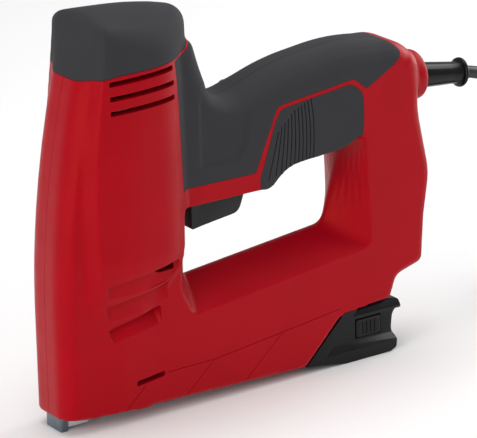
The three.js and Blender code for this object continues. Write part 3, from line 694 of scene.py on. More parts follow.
# Painted reflection: this steel is darkened so that the nose plate shows the dark surroundings it
# mirrors.
REFLECTION_DARKENED_STEEL = Metal("reflection_darkened_steel", (0.2, 0.25, 0.29), (0.15, 0.19, 0.22), (0.24, 0.36), ACROSS_Z)
BRIGHT = Metal("bright_steel", (0.56, 0.62, 0.69), (0.47, 0.52, 0.59), (0.2, 0.34), ACROSS_Z)
DARK_STEEL = Metal("dark_steel", (0.16, 0.165, 0.175), (0.11, 0.115, 0.12), (0.3, 0.45))
PLATED = Metal("plated_steel", (0.72, 0.74, 0.78), (0.6, 0.62, 0.66), (0.16, 0.3))
BRASS = Metal("plated_brass", (0.62, 0.55, 0.36), (0.52, 0.45, 0.28), (0.16, 0.28))
COPPER = WoundWire("copper_winding", (0.62, 0.25, 0.11), (0.25, 0.08, 0.03), 0.0011)


@dataclass(frozen=True)
class Placement:
    """Where a finished piece belongs: its body, its slot and the CAD nodes that it stands for."""

    body: str
    slot: str
    nodes: tuple[str, ...] = ()


def paint(piece: bpy.types.Object, finish: Plastic | Metal | WoundWire) -> None:
    """Gives a piece one finish all over."""
    piece.data.materials.clear()
    piece.data.materials.append(finish.make())


def dress(
    piece: bpy.types.Object, finish: Plastic | Metal | WoundWire, at: Placement
) -> bpy.types.Object:
    """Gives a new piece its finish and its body.

    Args:
        piece: the finished piece.
        finish: what it is made of.
        at: where it belongs.

    Returns:
        The piece.
    """
    paint(piece, finish)
    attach(piece, at.body)
    if at.nodes:
        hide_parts(*at.nodes)
    LOG.info("%s: %d faces on %s", piece.name, len(getattr(piece.data, "polygons", ())), at.body)
    return piece


# ---- Studio ----


@dataclass
class Studio:
    """The camera, the floor and the lights."""

    eye: Point = (-0.7459, -1.2529, 0.6085)
    ahead: Point = (0.5289, 0.7815, -0.3311)
    right: Point = (0.8241, -0.5664, -0.0212)
    lens: float = 264.15
    sky: float = 0.46
    aim: Point = (0.09, 0.0, 0.09)
    softboxes: tuple[tuple[str, Point, Flat, float], ...] = (
        ("left_box", (-1.15, -0.62, 0.42), (0.9, 1.4), 11.0),
        ("right_box", (1.2, 0.02, 0.38), (0.8, 1.4), 12.0),
        ("top_box", (0.05, 0.2, 1.5), (1.2, 1.0), 9.0),
        ("front_box", (-0.5, -1.7, 1.3), (0.9, 0.9), 2.5),
    )

    def build(self) -> None:
        """Makes the camera, floor, lights and sky."""
        bpy.context.scene.view_settings.view_transform = "Standard"
        self._camera()
        self._floor()
        self._world()
        for softbox in self.softboxes:
            self._softbox(*softbox)

    def _camera(self) -> None:
        """Places the camera by its viewing directions."""
        ahead = Vector(self.ahead).normalized()
        up = Vector(self.right).cross(ahead).normalized()
        right = ahead.cross(up)
        camera = bpy.data.objects.new("camera", bpy.data.cameras.new("camera"))
        camera.data.lens = self.lens
        camera.data.clip_end = 50
        camera.matrix_world = Matrix(
            [(right[i], up[i], -ahead[i], self.eye[i]) for i in range(3)] + [(0, 0, 0, 1)]
        )
        bpy.context.scene.collection.objects.link(camera)
        bpy.context.scene.camera = camera

    def _floor(self) -> None:
        """Lays a wide pale floor at the part's lowest point."""
        deselect()
        bpy.ops.mesh.primitive_plane_add(size=14, location=(0, 0, CAD_BOX[0].z - 0.0001))
        floor = bpy.context.object
        floor.name = "floor"
        nodes = Nodes("pale_floor")
        mottle = nodes.blend(nodes.noise(3.0), (0.91, 0.91, 0.91), (0.93, 0.93, 0.93))
        nodes.feed("Base Color", mottle)
        nodes.set(Roughness=0.75)
        floor.data.materials.append(nodes.material)

    def _world(self) -> None:
        """Fills the studio with an even white light."""
        world = bpy.data.worlds.new("studio")
        world.use_nodes = True
        sky = world.node_tree.nodes["Background"]
        sky.inputs["Color"].default_value = (1.0, 1.0, 1.0, 1.0)
        sky.inputs["Strength"].default_value = self.sky
        bpy.context.scene.world = world

    def _softbox(self, name: str, place: Point, size: Flat, power: float) -> None:
        """Hangs a rectangular light that faces the tool.

        Args:
            name: the light's name.
            place: where it hangs, in metres.
            size: its width and height.
            power: its power in watts.
        """
        light = bpy.data.lights.new(name, "AREA")
        light.shape = "RECTANGLE"
        light.size, light.size_y = size
        light.energy = power
        lamp = bpy.data.objects.new(name, light)
        lamp.location = place
        lamp.rotation_mode = "QUATERNION"
        lamp.rotation_quaternion = (Vector(self.aim) - Vector(place)).to_track_quat("-Z", "Y")
        bpy.context.scene.collection.objects.link(lamp)


# ---- Mains lead ----


@dataclass
class MainsLead:
    """The cord from the handle to its plug, the unseen length wound into a tied hank."""

    diameter: float = 6.0
    sleeve_start: Point = (203.8, 0.0, 128.2)
    sleeve_end: Point = (230.8, 0.0, 123.6)
    middle: float = 340.4
    half_run: float = 37.0
    pitch: float = 6.2
    inner: float = 18.1
    lowest: float = 4.4
    over_fold: float = 8.6
    inner_turns: int = 3
    outer_turns: int = 3
    route: tuple[Point, ...] = (
        (226.0, 0.0, 124.4),
        (231.1, 0.0, 123.55),
        (237.0, 0.0, 122.5),
        (246.5, -0.2, 119.2),
        (254.5, -1.0, 113.0),
        (260.3, -2.4, 104.6),
        (263.8, -4.4, 94.5),
        (266.0, -7.2, 82.0),
        (268.2, -10.4, 69.5),
        (271.6, -13.6, 56.6),
        (277.0, -16.2, 45.0),
        (284.4, -17.5, 35.8),
        (293.0, -18.1, 30.2),
        (303.4, -18.1, 25.6),
        (314.0, -18.1, 23.3),
    )

    def build(self) -> None:
        """Makes the cord, its sleeve, its tie and its plug."""
        tie = self._tie()
        plug = self._plug()
        pins = [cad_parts[name] for name in ("plug_pin_left", "plug_pin_right")]
        for pin in pins:
            paint(pin, BRASS)
        self._sleeve()
        path = self._drop() + self._winding() + self._tail()
        cord = self._cord(path)

    def _drop(self) -> list[Point]:
        """Returns the smooth way from the sleeve down onto the hank.

        Returns:
            Points from the sleeve to the first run of the hank.
        """
        points = [Vector(point) for point in self.route]
        ends = [points[0] * 2 - points[1], *points, points[-1] + Vector((8.0, 0.0, -0.1))]
        way = []
        for before, start, end, after in zip(ends, ends[1:], ends[2:], ends[3:]):
            for k in range(6):
                way.append(tuple(self._between_points(before, start, end, after, k / 6)))
        return way

    @staticmethod
    def _between_points(
        before: Vector, start: Vector, end: Vector, after: Vector, t: float
    ) -> Vector:
        """Returns a point of a centripetal curve from start to end, at share t.

        Args:
            before: the point before start.
            start: where t is 0.
            end: where t is 1.
            after: the point after end.
            t: the share of the way.

        Returns:
            The point.
        """
        knots = [0.0]
        for a, b in ((before, start), (start, end), (end, after)):
            knots.append(knots[-1] + max((b - a).length, 1e-6) ** 0.5)
        at = knots[1] + (knots[2] - knots[1]) * t

        def mix(p: Vector, q: Vector, low: int, high: int) -> Vector:
            """Returns the point between p and q that belongs to the place between two knots."""
            return p + (q - p) * ((at - knots[low]) / (knots[high] - knots[low]))

        first, second, third = (
            mix(before, start, 0, 1), mix(start, end, 1, 2), mix(end, after, 2, 3)
        )
        return mix(mix(first, second, 0, 2), mix(second, third, 1, 3), 1, 2)

    def _winding(self) -> list[Point]:
        """Returns the turns: the inner ones sink to the floor, and the outer ones climb round them.

        Returns:
            Points along every turn.
        """
        way = []
        for turn in range(self.inner_turns):
            for share in self._steps(turn == 0):
                level = self.inner_turns - turn - self._climb(share)
                height = self.lowest + self.pitch * level
                way.append(self._on_hank(share, self.inner, height))
        for turn in range(self.outer_turns):
            for share in self._steps(False):
                out = smoothstep(0.0, 0.26, share) if turn == 0 else 1.0
                level = turn + self._climb(share)
                height = self.lowest + self.pitch * level
                way.append(self._on_hank(share, self.inner + self.pitch * out, height))
        return way

    def _tail(self) -> list[Point]:
        """Returns the end of the cord, which climbs over the far fold and enters the plug.

        Returns:
            Points from the last turn into the plug.
        """
        low = self.lowest + self.pitch * self.outer_turns
        outer = self.inner + self.pitch
        way = [self._on_hank(share, outer, low) for share in (0.0, 0.07, 0.14, 0.2)]
        for step in range(13):
            share = 0.25 + 0.25 * step / 12
            rise = smoothstep(0, 9.5, step)
            radius = self.inner + self.pitch * (1 - rise)
            way.append(self._on_hank(share, radius, low + self.over_fold * rise))
        plug_low, plug_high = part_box("plug_body")
        axis = (plug_low + plug_high) / 2 / MM
        start = Vector(way[-1])
        end = Vector((plug_high.x / MM - 3.0, axis.y, axis.z))
        for step in range(1, 10):
            share = step / 9
            way.append((start.x + (end.x - start.x) * share,
                        start.y + (end.y - start.y) * smoothstep(0, 1, share),
                        start.z + (end.z - start.z) * smoothstep(0, 0.85, share)))
        return way

    @staticmethod
    def _steps(part: bool) -> list[float]:
        """Chooses the shares of a turn to place points at.

        Args:
            part: whether the turn starts where the drop already runs along it.

        Returns:
            Shares from 0 to 1.
        """
        near_run = [0.1, 0.16, 0.22] if part else [0.0, 0.05, 0.1, 0.16, 0.22]
        far_fold = [0.25 + 0.025 * k for k in range(11)]
        near_fold = [0.75 + 0.025 * k for k in range(10)]
        return near_run + far_fold + [0.56, 0.62, 0.69] + near_fold

    @staticmethod
    def _climb(share: float) -> float:
        """Returns how much of a level the cord has climbed at a share of a turn."""
        return smoothstep(0.22, 1.0, share)

    def _on_hank(self, share: float, radius: float, height: float) -> Point:
        """Returns a point of the hank at a share of its turn, from the start of the near run.

        Args:
            share: 0 to 0.25 on the near run, to 0.5 round the far fold, to 0.75 on the way back
                and to 1 round the near fold.
            radius: the radius of the folds.
            height: the height of the cord's axis.

        Returns:
            The point, in millimetres.
        """
        part, along = divmod(share * 4, 1)
        run = (2 * along - 1) * self.half_run
        turn = math.pi * along
        reach = self.half_run + radius * math.sin(turn)
        across = radius * math.cos(turn)
        if part == 0:
            return (self.middle + run, -radius, height)
        if part == 1:
            return (self.middle + reach, -across, height)
        if part == 2:
            return (self.middle - run, radius, height)
        return (self.middle - reach, across, height)

    def _cord(self, path: Sequence[Point]) -> bpy.types.Object:
        """Makes the cord as a round curve along a path.

        Args:
            path: the points of the cord's axis.

        Returns:
            The dressed cord.
        """
        curve = bpy.data.curves.new("mains_cord", "CURVE")
        curve.dimensions = "3D"
        curve.bevel_depth = self.diameter / 2 * MM
        curve.bevel_resolution = 5
        curve.use_fill_caps = True
        line = curve.splines.new("POLY")
        line.points.add(len(path) - 1)
        for knot, point in zip(line.points, path):
            knot.co = (*(axis * MM for axis in point), 1)
        line.use_smooth = True
        cord = bpy.data.objects.new("mains_cord", curve)
        bpy.context.scene.collection.objects.link(cord)
        stands_for = ("power_cord", "cord_hank", "cord_tail")
        return dress(cord, SHEATH, Placement("root", "cord_black", stands_for))

    def _sleeve(self) -> None:
        """Makes the tapered bend sleeve with its end flange."""
        start = Vector(self.sleeve_start) - Vector((9.0, 0.0, 0.0))
        end = Vector(self.sleeve_end)
        taper = [(0.0, 2.0), (0.0, 6.1), (0.24, 6.3), (0.27, 6.3), (0.5, 5.9), (0.75, 5.45)]
        flange = [(0.925, 5.15), (0.94, 5.3), (0.945, 6.3), (0.955, 6.9), (0.975, 7.1), (0.99, 6.9),
                  (1.0, 6.2), (1.0, 3.15), (0.97, 3.1)]
        sleeve = turned("bend_sleeve", taper + flange, start, end, 64)
        smooth_by_angle(sleeve, 50)
        dress(sleeve, GLOSS, Placement("root", "gloss_black", ("strain_relief",)))

    def _tie(self) -> bpy.types.Object:
        """Makes the strap round the hank.

        Returns:
            The dressed strap.
        """
        low, high = (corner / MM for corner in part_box("hank_tie"))
        thick = 1.0
        outer = rectangle((low.y, high.y), (low.z + 0.02, high.z), 2.2)
        strap = prism("cord_strap", outer, Lies.ALONG_X, low.x + 1.2, high.x - 1.2)
        inner = rectangle((low.y + thick, high.y - thick), (low.z + thick, high.z - thick), 1.6)
        room = prism("strap_room", inner, Lies.ALONG_X, low.x - 2, high.x + 2)
        combine(strap, room, Operation.CUT)
        soften(strap, 0.25, 2)
        return dress(strap, DARK, Placement("root", "cord_black", ("hank_tie",)))

    def _plug(self) -> bpy.types.Object:
        """Makes the two-pin plug with a waisted grip and a ribbed neck.

        Returns:
            The dressed plug.
        """
        low, high = (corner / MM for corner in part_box("plug_body"))
        middle = (low + high) / 2
        half, thick = (high.y - low.y) / 2, (high.z - low.z) / 2
        neck = [(0.0, 4.2, 4.2), (0.06, 5.0, 4.9), (0.12, 5.0, 4.9), (0.14, 4.3, 4.3),
                (0.17, 4.3, 4.3)]
        grip = [(0.19, 5.6, 5.2), (0.27, 6.0, 5.4), (0.34, 7.5, 5.9), (0.44, 11.5, 6.1),
                (0.54, 16.0, 6.2), (0.62, 17.6, 6.3), (0.72, 16.6, 6.3), (0.84, 16.8, 6.4)]
        face = [(0.95, half - 0.4, thick - 0.2), (0.985, half - 0.8, thick - 0.6),
                (1.0, half - 1.6, thick - 1.4)]
        rings = []
        for share, wide, tall in neck + grip + face:
            x = high.x - (high.x - low.x) * share
            outline = rounded(rectangle((-wide, wide), (-tall, tall), min(wide, tall) * 1.2), 8)
            rings.append([(x, middle.y + a, middle.z + b) for a, b, _ in outline])
        plug = loft("mains_plug", rings)
        smooth_by_angle(plug, 45)
        return dress(plug, DARK, Placement("root", "cord_black", ("plug_body",)))


# ---- Housing, cap and grips ----


@dataclass
class Shells:
    """The housing halves, the cap and the soft grips, all cut from one outer form.

    The rooms cut out for the inner parts are each a pair of X limits, a half-width and Z limits.
    """

    nose_front: float = -3.0
    lean_from: float = 50.0
    lean: float = 0.00112
    rear: float = 74.0
    top: float = 189.0
    half_frame: float = 17.0
    voxel: float = 0.85
    nose_side: float = 17.2
    swell: float = 7.8
    dome_edge: float = 5.5
    vent_rows: int = 3
    vent_top: float = 162.6
    vent_pitch: float = 6.6
    palm_grooves: int = 11
    joint: tuple[Flat, ...] = (
        (-10.0, 162.8), (12.0, 163.2), (18.0, 165.0), (26.0, 166.0), (42.0, 166.4),
        (57.0, 167.3), (65.0, 169.3), (71.0, 173.2), (76.0, 178.5), (84.0, 181.0),
    )
    screws: tuple[Flat, ...] = (
        (64, 158), (57, 40), (102, 36), (140, 42), (187, 50), (187, 100), (170, 146), (104, 138),
    )
    rooms: tuple[tuple[Flat, float, Flat], ...] = (
        ((0.3, 47.0), 12.2, (34.8, 71.0)),
        ((17.0, 62.0), 15.5, (62.5, 71.0)),
        ((62.0, 160.0), 11.5, (108.5, 134.0)),
        ((150.0, 178.0), 11.5, (118.0, 137.0)),
        ((172.0, 190.0), 10.0, (50.0, 137.0)),
        ((67.0, 103.2), 8.9, (74.0, 109.5)),
        ((-1.2, 14.0), 7.7, (-3.0, 35.8)),
        ((12.0, 168.0), 7.7, (-3.0, 24.6)),
    )

    def build(self) -> None:
        """Builds the form, divides it and dresses its pieces."""
        form = self._form()
        cap = copy_of(form, "cap")
        combine(cap, self._above_joint(0.12), Operation.KEEP)
        combine(form, self._above_joint(-0.12), Operation.CUT)
        self._finish_piece(cap, "top_cap", GRIP, Placement("root", "soft_grip", ("head_cap",)))
        grips = {"top_grip": self._top_region(), "palm_grip": self._palm_region()}
        skins = {}
        for name, region in grips.items():
            skins[name] = copy_of(form, name)
            combine(skins[name], prism("region", region, Lies.ALONG_Y, -WIDE, WIDE), Operation.KEEP)
        for name, region in grips.items():
            combine(form, self._grown(region, 0.15, f"{name}_room"), Operation.CUT)
        self._engrave_palm(skins["palm_grip"])
        for piece in (form, *skins.values()):
            self._hollow(piece)
        for side, word in ((-1, "left"), (1, "right")):
            self._half(form, side, f"housing_shell_{word}", RED,
                       Placement("root", "red_housing", (f"housing_{word}",)))
            self._half(skins["top_grip"], side, f"top_grip_{word}", GRIP,
                       Placement("root", "soft_grip", (f"grip_top_{word}",)))
            self._half(skins["palm_grip"], side, f"palm_pad_{word}", GRIP,
                       Placement("root", "soft_grip", (f"palm_grip_{word}",)))
        for piece in (form, *skins.values()):
            bpy.data.objects.remove(piece)

    def _half(
        self, whole: bpy.types.Object, side: int, name: str, finish: Plastic, at: Placement
    ) -> None:
        """Cuts one side's half from a whole and finishes it.

        Args:
            whole: the piece to divide.
            side: -1 for left, 1 for right.
            name: the half's name.
            finish: what it is made of.
            at: where it belongs.
        """
        half = copy_of(whole, name)
        y = (0.1, WIDE) if side > 0 else (-WIDE, -0.1)
        combine(half, block("side", (-FAR, FAR), y, (-FAR, FAR)), Operation.KEEP)
        self._finish_piece(half, name, finish, at)

    @staticmethod
    def _finish_piece(
        piece: bpy.types.Object, name: str, finish: Plastic, at: Placement
    ) -> None:
        """Keeps a piece's main part, shades it and dresses it.

        Args:
            piece: the piece to finish.
            name: its name.
            finish: what it is made of.
            at: where it belongs.
        """
        piece = largest_part(piece, name)
        smooth_by_angle(piece, 38)
        dress(piece, finish, at)

    def _form(self) -> bpy.types.Object:
        """Returns the whole outer form with its visible cuts, as one even surface.

        Returns:
            The solid form.
        """
        voxel = self.voxel * 1.0
        form = merge("form", [self._head(), self._frame(), self._boss()])
        remesh(form, voxel, 0)
        for cutter in (self._opening(), *self._neck_recess()):
            combine(form, cutter, Operation.CUT)
        remesh(form, voxel, 3)
        slots = (*self._louvres(), *self._vents(), self._sight_slot())
        for cutter in (*slots, *self._panel_lines()):
            combine(form, cutter, Operation.CUT)
        return form

    def _front(self, z: float) -> float:
        """Returns the X of the nose's front face at a height."""
        return self.nose_front + self.lean * max(z - self.lean_from, 0.0) ** 2

    @staticmethod
    def _fullness(z: float) -> float:
        """Returns how far the narrow nose has widened into the head at a height, from 0 to 1."""
        return smoothstep(46.0, 80.0, z)

    def _head_corners(self, z: float) -> list[Corner]:
        """Returns half of the head's plan at a height, from its front to its rear.

        Args:
            z: the height.

        Returns:
            Corners on the left side, from front to rear.
        """
        full = self._fullness(z)
        front = self._front(z)
        creases = ((40, 27.0), (58, 18.5), (68, 15.6), (80, 13.9), (102, 12.9), (130, 14.0),
                   (165, 17.7), (190, 19.8))
        crease_x = between(creases, z)
        crease_y = 17.0 + 5.0 * full
        side = self.nose_side + self.swell * full - 1.4 * smoothstep(150, 190, z)
        corner_x = min(front + 4.6, crease_x - 2.2)
        cove_x = max(corner_x + 0.5, crease_x - 4.2 - 9.0 * (1 - full))
        rise = max(z - 104.5, 0.0)
        rear = 58.0 + 16.0 * full - 0.02 * rise
        return [
            Corner(front, -9.5, 4.5),
            Corner(corner_x, -14.7 - 1.0 * full, 3.4),
            Corner(cove_x, -15.6 - 0.5 * full, 2.5),
            Corner(crease_x, -crease_y, 0.9),
            Corner(crease_x + 16.0, -side, 9.0),
            Corner(rear - 20.0, -side + 0.5, 10.0),
            Corner(rear - 6.0, -13.0, 7.0),
            Corner(rear, -4.5, 3.5),
        ]

    def _roof(self, x: float, y: float) -> float:
        """Returns the height of the cap's domed top, which falls towards the rear.

        Args:
            x: the place along the tool.
            y: the place across it.

        Returns:
            The height there.
        """
        s = min(max((x - 17.0) / 54.0, 0.0), 1.0)
        crown = 2.2 * (1 - (2 * s - 1) ** 2)
        return self.top + 1.2 - 4.5 * s**1.25 + crown - 15.0 * s**0.55 * (y / 22.0) ** 2

    def _head(self) -> bpy.types.Object:
        """Returns the head with its cap, lofted upwards.

        Returns:
            The head's solid.
        """
        def plan(z: float) -> list[Flat]:
            """Rounds the head's whole plan.

            Args:
                z: the height.

            Returns:
                The plan's points.
            """
            half = self._head_corners(z)
            other = [Corner(c.a, -c.b, c.r) for c in reversed(half)]
            return [(a, b) for a, b, _ in rounded(half + other)]

        rings = []
        shoulder = 158.0
        for z in (7.0, 20.0, 34.0, 44.0, 49.0, 53.0, 57.0, 61.0, 65.0, 69.0, 74.0, 80.0, 90.0,
                  102.0, 115.0, 130.0, 145.0, shoulder):
            tilt = 0.032 if z < 10 else 0.0
            rings.append([(x, y, z - tilt * x) for x, y in plan(z)])
        for share in (0.25, 0.5, 0.75):
            rings.append([(x, y, shoulder + share * (self._roof(x, y) - 7 - shoulder))
                          for x, y in plan(shoulder + 30 * share)])
        rim = plan(187.0)
        centre = Vector((42.0, 0.0))
        for degrees in (0, 20, 40, 60, 75, 90):
            inset, drop = quarter(self.dome_edge, degrees)
            ring = []
            for x, y in rim:
                inward = centre - Vector((x, y))
                at = Vector((x, y)) + inward.normalized() * inset
                ring.append((at.x, at.y, self._roof(at.x, at.y) - drop - 0.2))
            rings.append(ring)
        last = rings[-1]
        for share in (0.3, 0.6, 0.85, 0.99):
            ring = []
            for x, y, _ in last:
                at = Vector((x, y)).lerp(centre, share)
                ring.append((at.x, at.y, self._roof(at.x, at.y)))
            rings.append(ring)
        return loft("head", rings)

    def _frame_corners(self) -> list[Corner]:
        """Returns the side outline of base, column, handle and neck.

        Returns:
            Corners, each with the rounding of its long edge.
        """
        return [
            Corner(26.0, 6.4, 0.3, 1.5),
            Corner(127.0, 3.4, 0.3, 1.5),
            Corner(149.0, 25.8, 0.3, 1.2),
            Corner(176.3, 26.6, 1.0, 2.0),
            Corner(180.5, 37.4, 3.0, 2.5),
            Corner(195.5, 41.2, 3.0, 3.0),
            Corner(197.4, 66.0, 5.0, 3.5),
            Corner(200.8, 84.0, 6.0, 4.0),
            Corner(194.3, 119.0, 8.0, 5.0),
            Corner(196.5, 140.0, 7.0, 7.0),
            Corner(187.0, 149.6, 9.0, 9.0),
            Corner(160.0, 153.6, 24.0, 11.0),
            Corner(122.0, 149.8, 16.0, 11.5),
            Corner(93.0, 139.4, 13.0, 10.0),
            Corner(81.0, 142.5, 9.0, 9.0),
            Corner(75.0, 158.0, 7.0, 8.0),
            Corner(71.0, 172.0, 3.0, 8.0),
            Corner(40.0, 171.0, 1.0, 2.0),
            Corner(26.0, 50.0, 1.0, 1.5),
        ]

    def _frame(self) -> bpy.types.Object:
        """Returns base, column and handle, with their long edges rounded.

        Returns:
            The frame's solid.
        """
        outline = rounded(self._frame_corners())
        count = len(outline)
        inward = []
        for i in range(count):
            ahead = Vector(outline[(i + 1) % count][:2])
            behind = Vector(outline[i - 1][:2])
            run = (ahead - behind).normalized()
            inward.append(Vector((-run.y, run.x)))
        rings = []
        for side in (-1, 1):
            angles = (90, 70, 50, 30, 15, 0) if side < 0 else (0, 15, 30, 50, 70, 90)
            for degrees in angles:
                ring = []
                for (x, z, edge), normal in zip(outline, inward):
                    inset, short = quarter(edge, degrees)
                    y = side * (self.half_frame - short)
                    ring.append((x + normal.x * inset, y, z + normal.y * inset))
                rings.append(ring)
        return loft("frame", rings)

    def _boss(self) -> bpy.types.Object:
        """Returns the round boss that the cord leaves by."""
        profile = [(0.0, 12.9), (0.8, 12.2), (0.93, 12.0), (1.0, 11.0)]
        return turned("boss", profile, Vector((184.0, 0.0, CORD_Z)), Vector((203.5, 0.0, CORD_Z)), 64)

    def _opening(self) -> bpy.types.Object:
        """Returns the finger opening, narrow at the parting plane and flared towards both faces.

        Returns:
            The cutting solid.
        """
        middle = rounded([
            Corner(70.0, 59.2, 0.3), Corner(70.8, 58.5, 0.3), Corner(148.0, 66.5, 4.5),
            Corner(160.5, 103.5, 2.0), Corner(152.0, 102.6, 3.0), Corner(119.0, 100.8, 8.0),
            Corner(109.5, 92.2, 3.0), Corner(103.5, 94.5, 2.0), Corner(70.0, 94.5, 1.5),
        ])
        face = rounded([
            Corner(59.0, 57.0, 2.5), Corner(65.0, 44.6, 2.5), Corner(165.0, 56.0, 4.5),
            Corner(161.6, 112.5, 5.0), Corner(152.0, 106.5, 6.0), Corner(119.0, 104.2, 9.0),
            Corner(108.5, 95.0, 5.0), Corner(103.0, 95.8, 3.0), Corner(60.5, 96.0, 3.0),
        ])
        rings = []
        depths = (0.8, 2.5, 5.0, 8.0, 11.0, 14.0, 17.0, 17.6, WIDE)
        for y in (*(-depth for depth in reversed(depths)), *depths):
            share = min(abs(y) / self.half_frame, 1.0) ** 1.2
            rings.append([(a[0] + (b[0] - a[0]) * share, y, a[1] + (b[1] - a[1]) * share)
                          for a, b in zip(middle, face)])
        return loft("opening", rings)

    def _louvres(self) -> list[bpy.types.Object]:
        """Returns the slanted shingle cuts low on both sides of the head.

        Returns:
            The cutting solids.
        """
        lips = [((15.5, 68.2), (55.0, 75.0), 8.2), ((17.0, 58.2), (51.5, 64.4), 8.4),
                ((20.0, 47.4), (47.5, 52.8), 7.6)]
        cutters = []
        for (x0, z0), (x1, z1), fall in lips:
            for side in (-1, 1):
                rings = []
                for share in (0.0, 0.08, 0.3, 0.55, 0.8, 0.95, 1.0):
                    x = x0 + (x1 - x0) * share
                    z = z0 + (z1 - z0) * share
                    fade = 0.0 if share in (0.0, 1.0) else 1.0
                    curve = 0.2 * max(x - 38.0, 0.0)
                    above = self.nose_side + self.swell * self._fullness(z)
                    at_lip = above - curve - 0.4 - 2.7 * fade
                    face = self.nose_side + 0.05 + self.swell * self._fullness(z - fall)
                    below = max(face - curve, 17.1)
                    at_lip = min(at_lip, below + 3.0)
                    rings.append([(x, side * y, height) for y, height in
                                  ((34.0, z), (at_lip, z + 0.9 * fade), (at_lip - 0.5, z - 2.0),
                                   (below, z - fall), (34.0, z - fall))])
                cutters.append(loft("louvre", rings))
        return cutters

    def _vents(self) -> list[bpy.types.Object]:
        """Returns the three ventilation slots under the cap, on both sides.

        Returns:
            The cutting solids.
        """
        cutters = []
        for row in range(self.vent_rows):
            z = self.vent_top - self.vent_pitch * row
            slot = [Corner(20.9, z - 1.1, 0.7), Corner(54.6, z + 0.6, 0.7),
                    Corner(54.6, z + 2.9, 0.7), Corner(20.9, z + 1.2, 0.7)]
            for low, high in ((-WIDE, -12.0), (12.0, WIDE)):
                cutters.append(prism("vent", slot, Lies.ALONG_Y, low, high))
        return cutters

    def _neck_recess(self) -> list[bpy.types.Object]:
        """Returns the shallow hollows in the soft grip beside the trigger finger.

        Returns:
            The cutting solids.
        """
        hollow = [Corner(71.0, 145.0, 3.0), Corner(71.0, 112.8, 2.5), Corner(91.5, 112.8, 3.0),
                  Corner(96.6, 119.0, 5.0), Corner(100.5, 139.5, 8.0), Corner(96.0, 147.0, 5.0)]
        return [prism("recess", hollow, Lies.ALONG_Y, low, high)
                for low, high in ((-WIDE, -16.1), (16.1, WIDE))]

    def _sight_slot(self) -> bpy.types.Object:
        """Returns the slot through which the staples are counted.

        Returns:
            The cutting solid.
        """
        slot = [Corner(33.6, 17.2, 1.1), Corner(48.9, 19.0, 1.1), Corner(48.9, 21.5, 1.1),
                Corner(33.6, 19.7, 1.1)]
        return prism("sight", slot, Lies.ALONG_Y, -WIDE, WIDE)

    def _panel_lines(self) -> list[bpy.types.Object]:
        """Returns thin grooves that divide the base's faces into panels.

        Returns:
            The cutting solids.
        """
        first, second = (75.8, 20.4), (114.0, 24.6)
        lines = [((49.8, 20.3), first), (first, second), (second, (147.0, 28.4)),
                 ((26.5, 6.0), (38.2, 16.6)), ((58.5, 5.2), first), ((91.0, 4.4), second)]
        width, depth = 0.55, 0.7
        cutters = []
        for (x0, z0), (x1, z1) in lines:
            run = Vector((x1 - x0, z1 - z0)).normalized()
            across = Vector((-run.y, run.x)) * width
            for side in (-1, 1):
                rings = []
                for x, z in ((x0, z0), (x1, z1)):
                    rings.append([(x + across.x, side * PROUD, z + across.y),
                                  (x, side * (self.half_frame - depth), z),
                                  (x - across.x, side * PROUD, z - across.y)])
                cutters.append(loft("panel_line", rings))
        return cutters

    def _above_joint(self, shift: float) -> bpy.types.Object:
        """Returns all that lies above the joint of cap and housing, moved up by shift.

        Args:
            shift: how far the joint is moved up.

        Returns:
            The cutting solid.
        """
        corners = [Corner(x, z + shift) for x, z in self.joint]
        corners += [Corner(90.0, 260.0), Corner(-10.0, 260.0)]
        return prism("above", corners, Lies.ALONG_Y, -WIDE, WIDE)

    def _top_region(self) -> list[Corner]:
        """Returns the outline of the soft top grip, seen from the side.

        Returns:
            The outline's corners.
        """
        return [
            Corner(59.9, 105.0, 0.6), Corner(58.9, 124.6, 4.0), Corner(57.9, 146.0, 4.0),
            Corner(56.4, 166.2, 0.6), Corner(64.8, 168.2, 2.0), Corner(70.6, 171.9, 2.0),
            Corner(75.6, 177.3), Corner(84.0, 190.0), Corner(172.0, 190.0),
            Corner(178.0, 153.0, 3.0), Corner(184.5, 146.0, 3.5), Corner(180.3, 142.0, 1.5),
            Corner(163.2, 132.6, 1.2), Corner(156.0, 138.6, 2.5), Corner(113.2, 133.7, 3.0),
            Corner(100.6, 104.6, 1.0),
        ]

    def _palm_region(self) -> list[Corner]:
        """Returns the outline of the palm pad under the handle.

        Returns:
            The outline's corners.
        """
        return [
            Corner(103.0, 101.0, 1.0), Corner(112.2, 127.5, 2.0), Corner(115.2, 132.0, 3.0),
            Corner(154.6, 136.4, 3.0), Corner(161.2, 131.2, 4.0), Corner(161.6, 117.0, 4.0),
            Corner(160.6, 110.0, 2.0), Corner(150.0, 93.3), Corner(140.0, 80.0),
            Corner(104.0, 80.0),
        ]

    @staticmethod
    def _grown(corners: Sequence[Corner], by: float, name: str) -> bpy.types.Object:
        """Returns a region's prism, its outline moved outwards by a small gap.

        Args:
            corners: the region's outline.
            by: the gap's width.
            name: the prism's name.

        Returns:
            The prism.
        """
        outline = []
        for a, b, _ in rounded(corners):
            here = Vector((a, b))
            if not outline or (here - outline[-1]).length > 0.02:
                outline.append(here)
        pairs = list(zip(outline, outline[1:] + outline[:1]))
        turn = math.copysign(by, sum(a.x * b.y - b.x * a.y for a, b in pairs))
        moved = []
        for before, (here, after) in zip(outline[-1:] + outline[:-1], pairs):
            run = (here - before).normalized() + (after - here).normalized()
            run.normalize()
            moved.append((here.x + run.y * turn, here.y - run.x * turn))
        return loft(name, [[(a, y, b) for a, b in moved] for y in (-WIDE, WIDE)])

